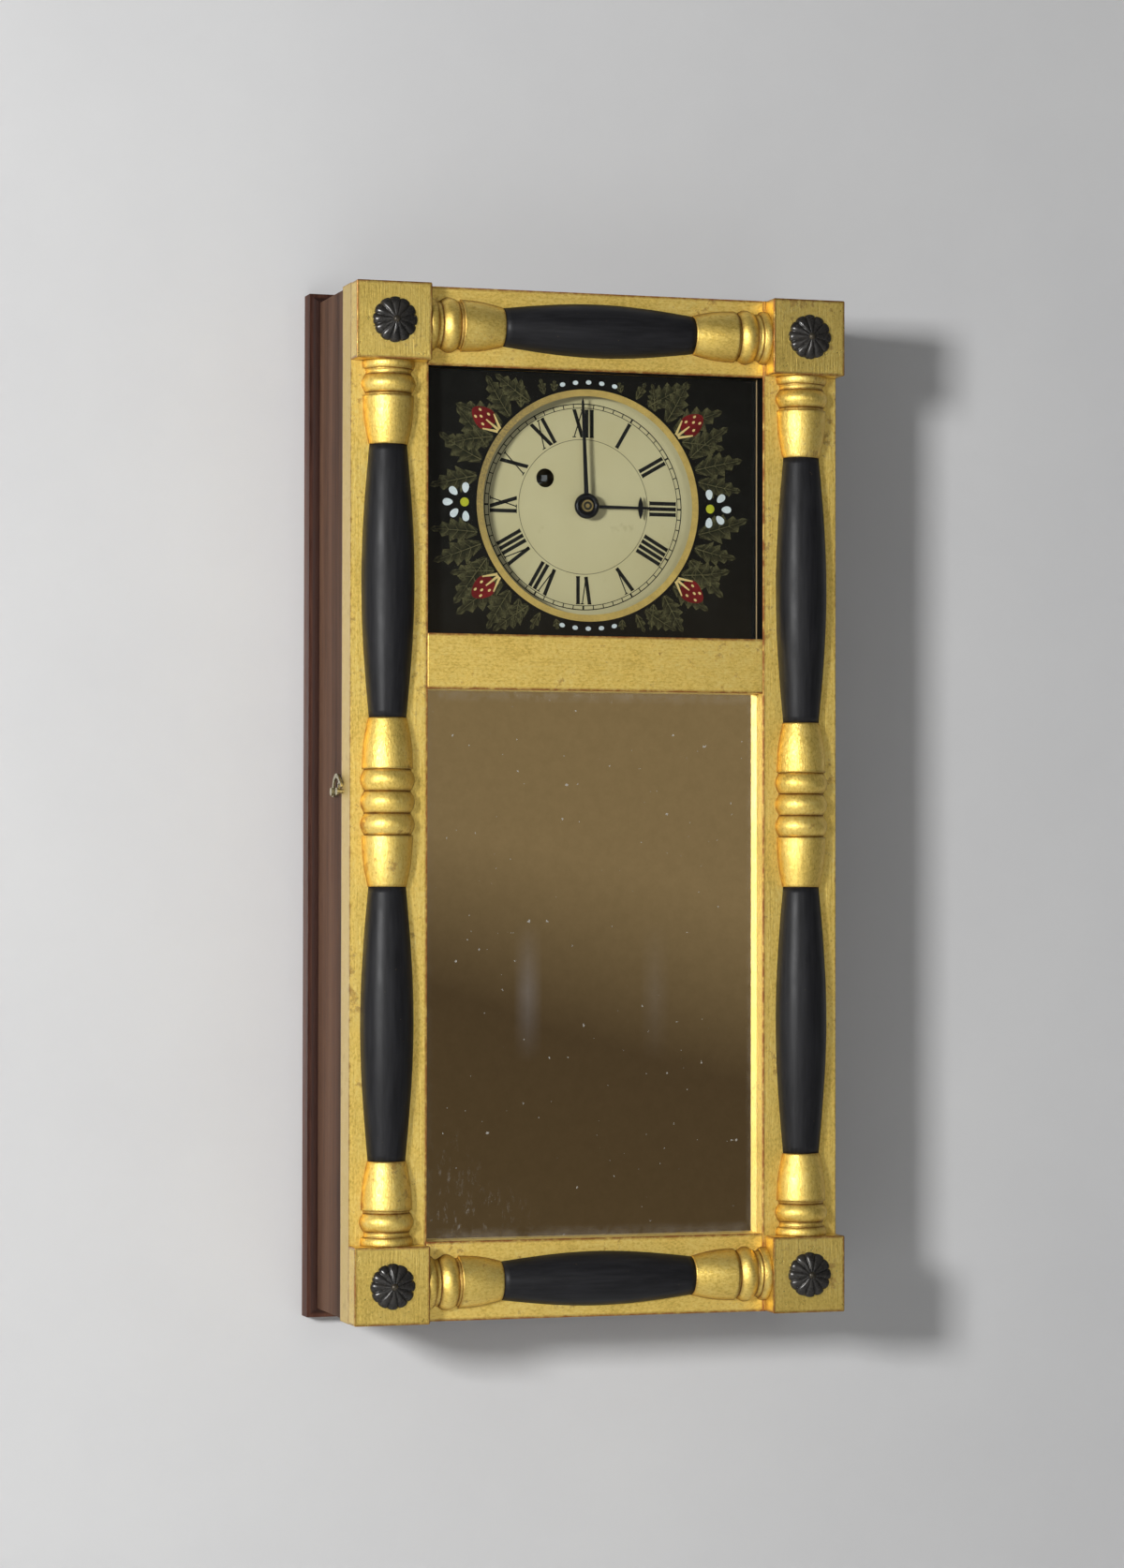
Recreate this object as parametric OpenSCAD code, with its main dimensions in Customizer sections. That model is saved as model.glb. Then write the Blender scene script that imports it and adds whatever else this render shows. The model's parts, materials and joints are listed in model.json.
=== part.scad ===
// Hanging mirror clock: a weight driven pendulum timepiece in a shallow case,
// closed by a gilt door with split turned columns, a painted glass and a mirror.
// Millimetres, +Z up, the front faces -Y, the wall is the plane y = 0.
// The origin is the centre of the hanging hole, on the wall plane.

/* [Door] */
// Overall width of the door
door_w = 374; // [366:1:420]
// Overall height of the door
door_h = 750; // [735:1:820]
// Thickness of the door frame
frame_t = 24.5; // [22:0.5:32]
// Width of each stile
stile_w = 58; // [54:0.5:64]
// Width of the top and bottom rails
rail_w = 57.5; // [54:0.5:64]
// Width of the rail between painted glass and mirror
cross_rail_w = 40.5; // [30:0.5:60]
// Height of the opening for the painted glass
tablet_h = 194.5; // [186:0.5:206]
// Depth of the glazing rabbet, from the back of the door
rabbet_depth = 11; // [10:0.5:13]
// Width of the lip that holds each glass
rabbet_lip = 6; // [4:0.5:10]
// Length of the tenons on the rails
tenon_l = 25; // [15:1:35]
// Thickness of the tenons
tenon_t = 7; // [5:0.5:8]
// Thickness of the painted glass
tablet_t = 2.5; // [2:0.1:3.5]
// Thickness of the mirror
mirror_t = 3; // [2:0.1:4]
// Thickness of the board behind the mirror
backing_t = 6; // [4:0.5:6.5]
// Section of the strips behind the painted glass
strip_w = 5; // [3:0.5:6]

/* [Columns] */
// Side of a corner block
block_size = 56; // [50:0.5:60]
// Height of the corner blocks above the frame
block_proud = 18; // [14:0.5:22]
// Radius of the turned beads
bead_r = 20.5; // [17:0.5:22]
// Radius of a column at the middle of its black shafts
shaft_r = 20; // [17:0.5:21]
// Radius of a column at the ends of its black shafts
neck_r = 14.25; // [12:0.25:16]
// Length of the gilt ends of the upright columns
upright_end_l = 60.5; // [50:0.5:70]
// Length of the gilt ends of the level columns
level_end_l = 57.7; // [48:0.1:66]
// Length of the gilt middle of the upright columns
middle_l = 122; // [100:1:150]
// Distance of the turning axis behind the frame's front
axis_sunk = 2.5; // [1:0.5:5]
// Radius of the cast rosettes
rosette_r = 16.5; // [12:0.5:20]
// Number of lobes on a rosette
rosette_lobes = 12; // [10:1:20]
// Height of a rosette
rosette_h = 6.5; // [4:0.5:9]

/* [Case] */
// Depth of the case from its front edge to the wall
case_depth = 92.5; // [91:0.5:120]
// Thickness of the case boards
board_t = 14; // [10:0.5:18]
// Thickness of the back board
back_t = 10; // [8:0.5:12]
// Inset of the case behind the door's outline
case_inset = 1.5; // [0:0.5:3]
// Gap between door and case
door_seam = 2; // [1.6:0.1:3]
// Depth of the moulding round the back of the case
moulding_d = 20; // [14:1:28]
// Projection of that moulding
moulding_proud = 7; // [4:0.5:10]
// Distance of the hanging hole below the door's top
hang_drop = 55; // [40:1:65]
// Radius of the hanging hole
hang_r = 5; // [3:0.5:7]

/* [Hinges and latch] */
// Height of each hinge
hinge_h = 48; // [36:1:70]
// Height of the hinges above and below the middle
hinge_z = 235; // [180:1:280]
// Width of a hinge leaf
leaf_w = 22; // [14:1:30]
// Radius of the hinge knuckles
knuckle_r = 2.4; // [2:0.1:2.7]
// Radius of the hinge pins
hinge_pin_r = 1.2; // [0.8:0.1:1.5]
// Distance of the hinge axis outside the door
hinge_out = 3; // [3:0.1:5]
// Height of the latch above the middle of the clock
latch_z = 8; // [-60:1:60]
// Distance from the latch pivot to its pin
latch_reach = 19; // [17:0.5:26]
// Angle at which the hook rests, lifted off its pin
latch_lift = 12; // [11:1:30]

/* [Dial and hands] */
// Distance of the dial's centre from the middle of the door
dial_x = -2; // [-4:0.5:4]
// Side of the square dial plate
dial_w = 206; // [196:1:216]
// Thickness of the dial plate
dial_t = 1.5; // [0.8:0.1:2]
// Setback of the dial behind the case's front edge
dial_setback = 2; // [1:0.5:4]
// Length of the minute hand from the centre
minute_l = 80; // [70:1:82]
// Length of the hour hand from the centre
hour_l = 61.5; // [50:0.5:68]
// Angle of the minute hand past twelve
minute_angle = -2.4; // [-6:0.1:6]
// Angle of the hour hand past twelve
hour_angle = 90; // [0:1:359]
// Thickness of the hands
hand_t = 0.8; // [0.5:0.1:1.2]
// Radius of the minute hand's boss
boss_r = 9.5; // [7:0.5:12]
// Place of the winding arbor to the right of the dial's centre
wind_x = -29.5; // [-30.5:0.1:-29]
// Place of the winding arbor above the dial's centre
wind_z = 20.7; // [20:0.1:22]
// Radius of the winding hole
wind_hole_r = 7; // [5:0.5:8]

/* [Movement] */
// Room between the dial and the front plate
motion_gap = 14; // [13.5:0.5:18]
// Thickness of the movement plates
plate_t = 3; // [2:0.5:4]
// Distance between the plates
plate_gap = 36; // [35:1:40]
// Radius of the pillars between the plates
pillar_r = 4; // [3:0.5:5]
// Teeth of the great wheel
great_teeth = 96; // [84:12:96]
// Teeth of the centre and third wheels
wheel_teeth = 72; // [60:4:72]
// Leaves of the train pinions
pinion_leaves = 8; // [8:1:9]
// Teeth of the escape wheel
escape_teeth = 30; // [24:2:36]
// Radius of the escape wheel
escape_r = 17.5; // [15:0.5:18]
// Distance from the centre arbor to the third arbor
third_distance = 27; // [26.5:0.1:27.5]
// Direction of the third arbor, above the level line
third_angle = 56; // [54:1:58]
// Height of the escape arbor above the centre
escape_rise = 42.5; // [42:0.1:43]
// Distance from the centre arbor down to the minute wheel
minute_drop = 18; // [18:0.1:19]
// Running clearance of every pivot, on the radius
running_fit = 0.05; // [0.03:0.01:0.08]
// Free gap of parts that pass each other
free_gap = 0.3; // [0.2:0.05:0.5]

/* [Pendulum and weight] */
// Height of the bob's middle above the bottom board
bob_rise = 102; // [90:1:130]
// Radius of the pendulum bob
bob_r = 32; // [24:1:36]
// Thickness of the pendulum bob
bob_t = 14; // [8:0.5:16]
// Radius of the pendulum rod
rod_r = 1.5; // [1:0.1:2]
// Radius of the driving weight
weight_r = 22; // [16:0.5:22.5]
// Height of the driving weight
weight_h = 190; // [120:1:200]
// Radius of the weight cord
cord_r = 0.8; // [0.5:0.1:1]
// Radius from the drum's axis to the middle of the cord
drum_line_r = 8.24; // [7.6:0.02:8.3]
// Radius from the top pulley's axis to the middle of the cord
top_line_r = 30; // [29.5:0.5:32]
// Radius from the weight pulley's axis to the middle of the cord
weight_line_r = 15; // [12:0.5:16]

/* [Hidden] */
$fn = 64;
eps = 0.01;

gilt = [0.83, 0.66, 0.28];
mahogany = [0.36, 0.2, 0.14];
pine = [0.72, 0.56, 0.37];
brass = [0.75, 0.6, 0.3];
steel = [0.45, 0.47, 0.5];
iron = [0.2, 0.2, 0.21];
blued = [0.06, 0.06, 0.09];
dial_white = [0.86, 0.82, 0.68];
linen = [0.85, 0.8, 0.68];
clear = [0.6, 0.7, 0.7, 0.4];
silvered = [0.75, 0.78, 0.8];

// Planes across the depth, the wall being zero
case_front = -case_depth;
door_back = case_front - door_seam;
door_front = door_back - frame_t;
block_front = door_front - block_proud;
glass_front = door_back - rabbet_depth;
tablet_back = glass_front + tablet_t;
mirror_back = glass_front + mirror_t;
dial_face = case_front + dial_setback;
dial_back = dial_face + dial_t;
front_plate_y = dial_back + motion_gap;
train_front = front_plate_y + plate_t;
train_back = train_front + plate_gap;
back_plate_y = train_back + plate_t;
back_board_y = -back_t;
pendulum_y = (back_plate_y + back_board_y) / 2;

// Outline of the case and of the door's openings, from the middle of the clock
case_w = door_w - 2 * case_inset;
case_h = door_h - 2 * case_inset;
inner_w = case_w - 2 * board_t;
inner_h = case_h - 2 * board_t;
sight_w = door_w - 2 * stile_w;
tablet_top = door_h / 2 - rail_w;
tablet_bottom = tablet_top - tablet_h;
mirror_top = tablet_bottom - cross_rail_w;
mirror_bottom = rail_w - door_h / 2;
hang_z = door_h / 2 - hang_drop;
dial_z = (tablet_top + tablet_bottom) / 2;

// Arbor places, from the dial's centre
centre_at = [0, 0];
great_at = [wind_x, wind_z];
third_at = third_distance * [cos(third_angle), sin(third_angle)];
escape_at = [0, escape_rise];
pallet_at = [0, escape_rise + escape_r * sqrt(2)];
minute_at = [0, -minute_drop];
great_angle = atan2(wind_z, wind_x);
escape_angle = atan2(escape_at[1] - third_at[1], escape_at[0] - third_at[0]);

// Modules of the gear pairs, from the distances between their arbors
great_m = 2 * norm(great_at) / (great_teeth + pinion_leaves);
centre_m = 2 * third_distance / (wheel_teeth + pinion_leaves);
third_m = 2 * norm(escape_at - third_at) / (wheel_teeth + pinion_leaves);
cannon_leaves = 12;
minute_teeth = 36;
hour_teeth = 48;
minute_m = 2 * minute_drop / (cannon_leaves + minute_teeth);
hour_m = 2 * minute_drop / (cannon_leaves + hour_teeth);

// Distances of the train's layers in front of the back plate, and their thickness
great_layer = 2;
great_t = 2.5;
ratchet_layer = 5;
ratchet_t = 2.5;
drum_layer = 7.5;
drum_l = 25.5;
third_layer = 12;
escape_layer = 19;
centre_layer = 27;
wheel_t = 1.5;
leaf_over = 2;

// Arbors and pivots
arbor_r = 1.8;
pivot_r = 1.2;
wind_arbor_r = 3;
wind_square = 4.5;
wind_shoulder = 1;
wind_setback = 1.5;
end_shake = 0.3;

// Motion work, measured forwards from the front plate
cannon_layer = 2;
cannon_l = 4;
minute_layer = 3.25;
hour_layer = 8.5;
cannon_r = 3.2;
cannon_bore_r = 1.62;
press_fit = 0.02;
hour_pipe_r = 4.4;
hour_hand_rise = 5.2;
minute_hand_rise = 9;
arbor_tip_set = 0.6;
hour_hand_y = dial_face - hour_hand_rise;
minute_hand_y = dial_face - minute_hand_rise;
collet_r = 4.35;
collet_l = 1.9;
arbor_tip_y = minute_hand_y - collet_l + arbor_tip_set;
dial_hole_r = 6;

// Movement plates: edges to the left, right and below of the dial's centre, and above the pallet arbor
plate_left = 70;
plate_right = 44;
plate_below = 30;
plate_above = 5;
plate_top = pallet_at[1] + plate_above;
pillar_inset = 6;
pillar_top = 50;
pillars_at = [
    for (x = [pillar_inset - plate_left, plate_right - pillar_inset])
    for (z = [pillar_inset - plate_below, pillar_top])
    [x, z]
];
pillar_pin_r = 2;
post_inset = 16;
post_drop = 8;
posts_at = [
    for (x = [post_inset - plate_left, plate_right - post_inset])
    for (z = [post_drop - plate_below, plate_top - post_drop])
    [x, z]
];
post_r = 5;
plate_nut_r = 4;
plate_nut_t = 2.5;
pillar_pin_over = 1;

// Cord route, in front view from the middle of the clock
cord_y = train_back - drum_layer - drum_l / 2;
drum_x = dial_x + great_at[0] + drum_line_r;
drum_z = dial_z + great_at[1];
top_pulley_x = drum_x - top_line_r;
top_pulley_drop = 7;
top_pulley_z = inner_h / 2 - top_line_r - top_pulley_drop;
weight_x = drum_x - 2 * top_line_r - weight_line_r;
weight_floor = 3.5;
weight_low = weight_floor - inner_h / 2;
stirrup_h = 22;
weight_pulley_z = weight_low + weight_h + stirrup_h;
hook_x = weight_x - weight_line_r;
hook_drop = 16;
hook_z = inner_h / 2 - hook_drop;
pulley_t = 6;
rim_over = 1.6;
cheek_t = 1.5;
cheek_play = 0.4;
cheek_gap = pulley_t + 2 * free_gap + cheek_play;
axle_r = 2;

// Points of a turned stretch between two radii, bulging by a sine
function turned(z0, part) =
    let (steps = part[4])
    [for (i = [0 : steps])
        let (t = i / steps)
        [part[1] + (part[2] - part[1]) * t + part[3] * sin(180 * t), z0 + part[0] * t]];

// Running length before each part of a turning
function starts(parts) = [
    for (i = 0, z = 0; i < len(parts); z = z + parts[i][0], i = i + 1) z
];

function turning(parts) =
    let (z = starts(parts))
    concat(
        [[0, 0]],
        [for (i = [0 : len(parts) - 1]) each turned(z[i], parts[i])],
        [[0, z[len(parts) - 1] + parts[len(parts) - 1][0]]]
    );

// The same parts read from the other end
function turned_back(parts) = [
    for (i = [len(parts) - 1 : -1 : 0])
        [parts[i][0], parts[i][2], parts[i][1], parts[i][3], parts[i][4]]
];

// Parts of a turning: length, first radius, last radius, bulge, steps
ring_l = 6;
cove_l = 4;
bead_l = 13.5;
groove_l = 2;
bead_rise = 3;
bead_root_r = bead_r - bead_rise;
ring_foot_r = bead_r - 0.8;
ring_r = bead_r - 1.6;
ring_bulge = 0.6;
cove_top_r = bead_r - 2.2;
cove_hollow = -0.8;
groove_rise = 0.4;
cup_r = bead_r - 1.25;
cup_foot_r = neck_r + 0.5;
cup_bulge = 1.2;
ring_steps = 6;
cove_steps = 4;
bead_steps = 10;
cup_steps = 8;
shaft_steps = 24;
function bead(l) = [l, bead_root_r, bead_root_r, bead_rise, bead_steps];
function cup(l) = [l, cup_r, cup_foot_r, cup_bulge, cup_steps];
function end_parts(end_l) = [
    [ring_l, ring_foot_r, ring_r, ring_bulge, ring_steps],
    [cove_l, cove_top_r, bead_root_r, cove_hollow, cove_steps],
    bead(bead_l),
    [groove_l, bead_root_r, bead_root_r + groove_rise, 0, 1],
    cup(end_l - ring_l - cove_l - bead_l - groove_l)
];
function shaft_part(shaft_l) = [[shaft_l, neck_r, neck_r, shaft_r - neck_r, shaft_steps]];
middle_beads = 3;
middle_bead_l = 16;
middle_cup_l = (middle_l - middle_beads * middle_bead_l) / 2;
middle_parts = concat(
    turned_back([cup(middle_cup_l)]),
    [for (i = [1 : middle_beads]) bead(middle_bead_l)],
    [cup(middle_cup_l)]
);
upright_l = door_h - 2 * block_size;
level_l = door_w - 2 * block_size;
upright_shaft_l = (upright_l - 2 * upright_end_l - middle_l) / 2;
level_shaft_l = level_l - 2 * level_end_l;
upright_parts = concat(
    end_parts(upright_end_l), shaft_part(upright_shaft_l), middle_parts,
    shaft_part(upright_shaft_l), turned_back(end_parts(upright_end_l))
);
level_parts = concat(
    end_parts(level_end_l), shaft_part(level_shaft_l), turned_back(end_parts(level_end_l))
);

// Outline of a wheel: teeth with bevelled tips on straight flanks, first tooth at the given angle
tooth_tip = 0.22;
function wheel_points(teeth, m, first, addendum, dedendum, thick) =
    let (r = teeth * m / 2, pitch = 360 / teeth)
    [for (i = [0 : teeth - 1])
        for (p = [
            [-thick / 2, -dedendum], [-thick / 2, 0], [-tooth_tip * thick, addendum],
            [tooth_tip * thick, addendum], [thick / 2, 0], [thick / 2, -dedendum]
        ])
        let (a = first + pitch * (i + p[0]), q = r + p[1] * m)
        q * [cos(a), sin(a)]];

// Angle of a follower's tooth that stands in a gap of its driver
function mesh_angle(direction, driver_teeth, driver_first, teeth) =
    direction + 180 + ((direction - driver_first) * driver_teeth / 360 + 0.5) * 360 / teeth;

wheel_add = 0.85;
wheel_ded = 1.3;
wheel_thick = 0.38;
leaf_add = 0.6;
leaf_ded = 1.35;
leaf_thick = 0.32;
wheel_spokes = 4;
third_pinion_first = mesh_angle(third_angle, wheel_teeth, 0, pinion_leaves);
escape_pinion_first = mesh_angle(escape_angle, wheel_teeth, 0, pinion_leaves);
centre_pinion_first = mesh_angle(great_angle + 180, great_teeth, 0, pinion_leaves);
minute_wheel_first = mesh_angle(-90, cannon_leaves, 0, minute_teeth);
minute_pinion_first = 180 / cannon_leaves;
hour_wheel_first = mesh_angle(90, cannon_leaves, minute_pinion_first, hour_teeth);

module hung() translate([0, 0, -hang_z]) children();
module at_dial() hung() translate([dial_x, 0, dial_z]) children();

// A flat shape of the front view, given its front plane and thickness
module slab(y_front, t) translate([0, y_front + t, 0]) rotate([90, 0, 0]) linear_extrude(t) children();

// A flat shape of the side view, given its left plane and thickness
module side_slab(x_left, t) translate([x_left, 0, 0]) rotate([90, 0, 90]) linear_extrude(t) children();

// A round bar along the depth
module bar(at, y0, y1, r) translate([at[0], y0, at[1]]) rotate([-90, 0, 0]) cylinder(h = y1 - y0, r = r);

// A round bar across the width
module cross_bar(y, z, x0, x1, r) translate([x0, y, z]) rotate([0, 90, 0]) cylinder(h = x1 - x0, r = r);

module box(low, high) translate(low) cube(high - low);

// Case
module case_side(side) {
    x = side * (inner_w / 2 + board_t / 2);
    difference() {
        translate([x - board_t / 2, case_front, -case_h / 2]) cube([board_t, case_depth, case_h]);
        if (side < 0) cross_bar(
            latch_y, latch_z, -case_w / 2 - eps, -case_w / 2 + latch_screw_l, latch_pivot_r + running_fit
        );
    }
}
module case_left_side() color(mahogany) hung() case_side(-1);
module case_right_side() color(mahogany) hung() case_side(1);

module level_board(z) box(
    [-inner_w / 2, case_front, z - board_t / 2], [inner_w / 2, 0, z + board_t / 2]
);
module case_top() color(mahogany) hung() level_board(inner_h / 2 + board_t / 2);
module case_bottom() color(mahogany) hung() level_board(-inner_h / 2 - board_t / 2);

module back_board() color(pine) hung() difference() {
    box([-inner_w / 2, back_board_y, -inner_h / 2], [inner_w / 2, 0, inner_h / 2]);
    bar([0, hang_z], back_board_y - 1, 1, hang_r);
}

// Joint left between pieces that are glued end to end
glue_gap = 0.05;

// Section of the back moulding: a cove between two fillets, x being the projection
module moulding_section() {
    fillet = 1.3;
    cove_r = moulding_proud - 2 * fillet;
    difference() {
        translate([0, -moulding_d]) square([moulding_proud, moulding_d]);
        translate([moulding_proud - fillet, -moulding_d]) circle(cove_r);
        translate([moulding_proud - fillet, -moulding_d - eps]) square([fillet + eps, cove_r + eps]);
    }
}
// One mitred length of moulding along +Z, on the plane x = 0 and facing +X
module moulding_length(l) intersection() {
    translate([0, 0, -l / 2 - moulding_proud]) linear_extrude(l + 2 * moulding_proud) moulding_section();
    slab(-moulding_d, moulding_d) polygon([
        [0, glue_gap - l / 2], [moulding_proud, glue_gap - l / 2 - moulding_proud],
        [moulding_proud, l / 2 + moulding_proud - glue_gap], [0, l / 2 - glue_gap]
    ]);
}
module back_moulding() color(mahogany) hung() {
    for (side = [-1, 1]) {
        mirror([side < 0 ? 1 : 0, 0, 0]) translate([case_w / 2, 0, 0]) moulding_length(case_h);
        rotate([0, -side * 90, 0]) translate([case_h / 2, 0, 0]) moulding_length(case_w);
    }
}

// Dial and the rails that carry it
cleat_h = 14;
cleat_t = 9;
cleat_inset = 8;
dial_screw_r = 1.5;
dial_screw_head_r = 3;
dial_screw_head_t = 1.2;
dial_screw_x = [for (side = [-1, 1]) dial_x + side * (dial_w / 2 - cleat_inset)];
module dial_cleats() color(pine) hung() for (side = [-1, 1]) {
    z = dial_z + side * (dial_w / 2 - cleat_inset);
    difference() {
        box([-inner_w / 2, dial_back, z - cleat_h / 2], [inner_w / 2, dial_back + cleat_t, z + cleat_h / 2]);
        for (x = dial_screw_x)
            bar([x, z], dial_back - 1, dial_back + cleat_t + 1, dial_screw_r + running_fit);
    }
}
module dial_plate() color(dial_white) at_dial() slab(dial_face, dial_t) difference() {
    square(dial_w, center = true);
    circle(dial_hole_r);
    translate(great_at) circle(wind_hole_r);
    for (x = [-1, 1], z = [-1, 1])
        translate((dial_w / 2 - cleat_inset) * [x, z]) circle(dial_screw_r + running_fit);
}
module dial_screws() color(brass) at_dial() for (x = [-1, 1], z = [-1, 1]) {
    at = (dial_w / 2 - cleat_inset) * [x, z];
    bar(at, dial_face, dial_back + cleat_t, dial_screw_r);
    bar(at, dial_face - dial_screw_head_t, dial_face, dial_screw_head_r);
}

// Movement frame
module plate_outline() difference() {
    translate([-plate_left, -plate_below]) square([plate_left + plate_right, plate_below + plate_top]);
    for (at = pillars_at) translate(at) circle(pillar_pin_r + running_fit);
    for (at = [third_at, escape_at, pallet_at]) translate(at) circle(pivot_r + running_fit);
}
module back_plate() color(brass) at_dial() slab(train_back, plate_t) difference() {
    plate_outline();
    circle(pivot_r + running_fit);
    translate(great_at) circle(arbor_r + running_fit);
}
// The stud of the minute wheel is riveted into the front plate
stud_r = 1.5;
stud_over = 3;
module front_plate() color(brass) at_dial() {
    slab(front_plate_y, plate_t) difference() {
        plate_outline();
        circle(arbor_r + running_fit);
        translate(great_at) circle(wind_arbor_r + running_fit);
    }
    bar(minute_at, front_plate_y - hour_layer - stud_over, front_plate_y + eps, stud_r);
}
module plate_pillars() color(brass) at_dial() for (at = pillars_at) {
    bar(at, train_front, train_back, pillar_r);
    bar(at, front_plate_y - plate_nut_t - pillar_pin_over, train_back + plate_t, pillar_pin_r);
}
module plate_nuts() color(steel) at_dial() for (at = pillars_at)
    slab(front_plate_y - plate_nut_t, plate_nut_t) translate(at) difference() {
        circle(plate_nut_r, $fn = 6);
        circle(pillar_pin_r + running_fit);
    }
module movement_posts() color(brass) at_dial() for (at = posts_at)
    bar(at, back_plate_y, back_board_y, post_r);

// The slit block on the back board that carries the suspension spring
hanger_w = 12;
hanger_h = 8;
slit_w = 0.7;
slit_h = 4;
spring_w = 6;
spring_t = 0.25;
hanger_wall = 1;
hanger_y = pendulum_y - spring_w / 2 - hanger_wall;
module suspension_block() color(brass) at_dial() translate([0, 0, pallet_at[1]]) difference() {
    box([-hanger_w / 2, hanger_y, free_gap], [hanger_w / 2, back_board_y, hanger_h]);
    box([-slit_w / 2, hanger_y - eps, 0], [slit_w / 2, pendulum_y + spring_w / 2 + free_gap, slit_h]);
}

// Cord, pulleys and weight
module on_cord(x, z) hung() translate([x, cord_y, z]) rotate([90, 0, 0]) children();
pulley_holes = 4;
pulley_hole_share = 1 / 6;
module grooved_wheel(line_r) difference() {
    rotate_extrude() difference() {
        translate([axle_r + running_fit, -pulley_t / 2])
            square([line_r + rim_over - axle_r - running_fit, pulley_t]);
        translate([line_r, 0]) circle(cord_r + running_fit);
        translate([line_r, -cord_r - running_fit]) square([rim_over + 1, 2 * (cord_r + running_fit)]);
    }
    for (i = [0 : pulley_holes - 1]) rotate((i + 0.5) * 360 / pulley_holes)
        translate([(line_r + axle_r) / 2, 0, -pulley_t])
            cylinder(h = 2 * pulley_t, r = pulley_hole_share * line_r);
}
module top_pulley() color(brass) on_cord(top_pulley_x, top_pulley_z) grooved_wheel(top_line_r);
module weight_pulley() color(brass) on_cord(weight_x, weight_pulley_z) grooved_wheel(weight_line_r);

// Two cheeks with an axle, the cheeks running from z0 to z1
module fork(x, z, z0, z1, w) {
    bar([x, z], cord_y - cheek_gap / 2 - cheek_t, cord_y + cheek_gap / 2 + cheek_t, axle_r);
    for (side = [-1, 1]) {
        y = cord_y + side * (cheek_gap + cheek_t) / 2;
        box([x - w / 2, y - cheek_t / 2, z0], [x + w / 2, y + cheek_t / 2, z1]);
    }
}
fork_w = 10;
fork_base_t = 2;
fork_foot = 12;
module pulley_bracket() color(brass) hung() {
    fork(top_pulley_x, top_pulley_z, top_pulley_z - fork_w / 2, inner_h / 2, fork_w);
    box(
        [top_pulley_x - fork_w / 2, cord_y - cheek_gap / 2 - fork_foot, inner_h / 2 - fork_base_t],
        [top_pulley_x + fork_w / 2, cord_y + cheek_gap / 2 + fork_foot, inner_h / 2]
    );
}
module weight_stirrup() color(brass) hung() {
    fork(weight_x, weight_pulley_z, weight_low + weight_h, weight_pulley_z + fork_w / 2, fork_w);
    box(
        [weight_x - fork_w / 2, cord_y - cheek_gap / 2 - cheek_t, weight_low + weight_h],
        [weight_x + fork_w / 2, cord_y + cheek_gap / 2 + cheek_t, weight_low + weight_h + fork_base_t]
    );
}
weight_chamfer = 3;
module weight() color(iron) hung() translate([weight_x, cord_y, weight_low]) rotate_extrude() polygon([
    [0, 0], [weight_r - weight_chamfer, 0], [weight_r, weight_chamfer],
    [weight_r, weight_h - weight_chamfer], [weight_r - weight_chamfer, weight_h], [0, weight_h]
]);
hook_wire_r = 1.3;
hook_ring_r = 4;
hook_foot_r = 3.5;
hook_foot_t = 2;
module cord_hook() color(brass) hung() translate([hook_x, cord_y, 0]) {
    translate([0, 0, hook_z + hook_ring_r]) cylinder(h = inner_h / 2 - hook_z - hook_ring_r, r = hook_wire_r);
    translate([0, 0, inner_h / 2 - hook_foot_t]) cylinder(h = hook_foot_t, r = hook_foot_r);
    translate([0, 0, hook_z]) rotate([90, 0, 0]) rotate_extrude()
        translate([hook_ring_r, 0]) circle(hook_wire_r);
}
// The cord: half a turn on the drum, over the top pulley, round the weight pulley, up to an eye in its hook
module half_loop(x, z, line_r, turn) on_cord(x, z) rotate(turn) rotate_extrude(angle = 180)
    translate([line_r, 0]) circle(cord_r);
module strand(x, z0, z1) hung() translate([x, cord_y, z0]) cylinder(h = z1 - z0, r = cord_r);
cord_eye_r = hook_wire_r + cord_r + free_gap;
cord_eye_z = hook_z - hook_ring_r;
module cord_eye() hung() translate([hook_x, cord_y, cord_eye_z]) rotate([0, 90, 0])
    rotate_extrude() translate([cord_eye_r, 0]) circle(cord_r);
module weight_cord() color(linen) {
    half_loop(drum_x - drum_line_r, drum_z, drum_line_r, 180);
    strand(drum_x, drum_z, top_pulley_z);
    half_loop(top_pulley_x, top_pulley_z, top_line_r, 0);
    strand(top_pulley_x - top_line_r, weight_pulley_z, top_pulley_z);
    half_loop(weight_x, weight_pulley_z, weight_line_r, 180);
    strand(hook_x, weight_pulley_z, cord_eye_z - cord_eye_r);
    cord_eye();
}

// Door hinges: the case leaf has the outer knuckles, the door leaf the middle one
hinge_x = door_w / 2 + hinge_out;
hinge_y = (case_front + door_back) / 2;
leaf_gap = 0.2;
leaf_t = (door_seam - leaf_gap) / 2;
third_h = hinge_h / 3;
knuckle_gap = 0.2;
knuckle_clear = 0.4;
hinge_pin_over = 1;
hinge_pin_head = 1.3;
module knuckle(z0, z1) translate([hinge_x, hinge_y, z0]) cylinder(h = z1 - z0, r = knuckle_r);
module hinge_leaf(y, knuckles) difference() {
    union() {
        difference() {
            box([hinge_x - leaf_w, y, -hinge_h / 2], [hinge_x, y + leaf_t, hinge_h / 2]);
            for (k = [-1, 0, 1]) if (len(search(k, knuckles)) == 0)
                box(
                    [hinge_x - knuckle_r - knuckle_clear, y - 1, (k - 0.5) * third_h - knuckle_gap],
                    [hinge_x + 1, y + leaf_t + 1, (k + 0.5) * third_h + knuckle_gap]
                );
        }
        for (k = knuckles)
            knuckle((k - 0.5) * third_h + knuckle_gap / 2, (k + 0.5) * third_h - knuckle_gap / 2);
    }
    translate([hinge_x, hinge_y, -hinge_h]) cylinder(h = 2 * hinge_h, r = hinge_pin_r + running_fit);
}
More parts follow.
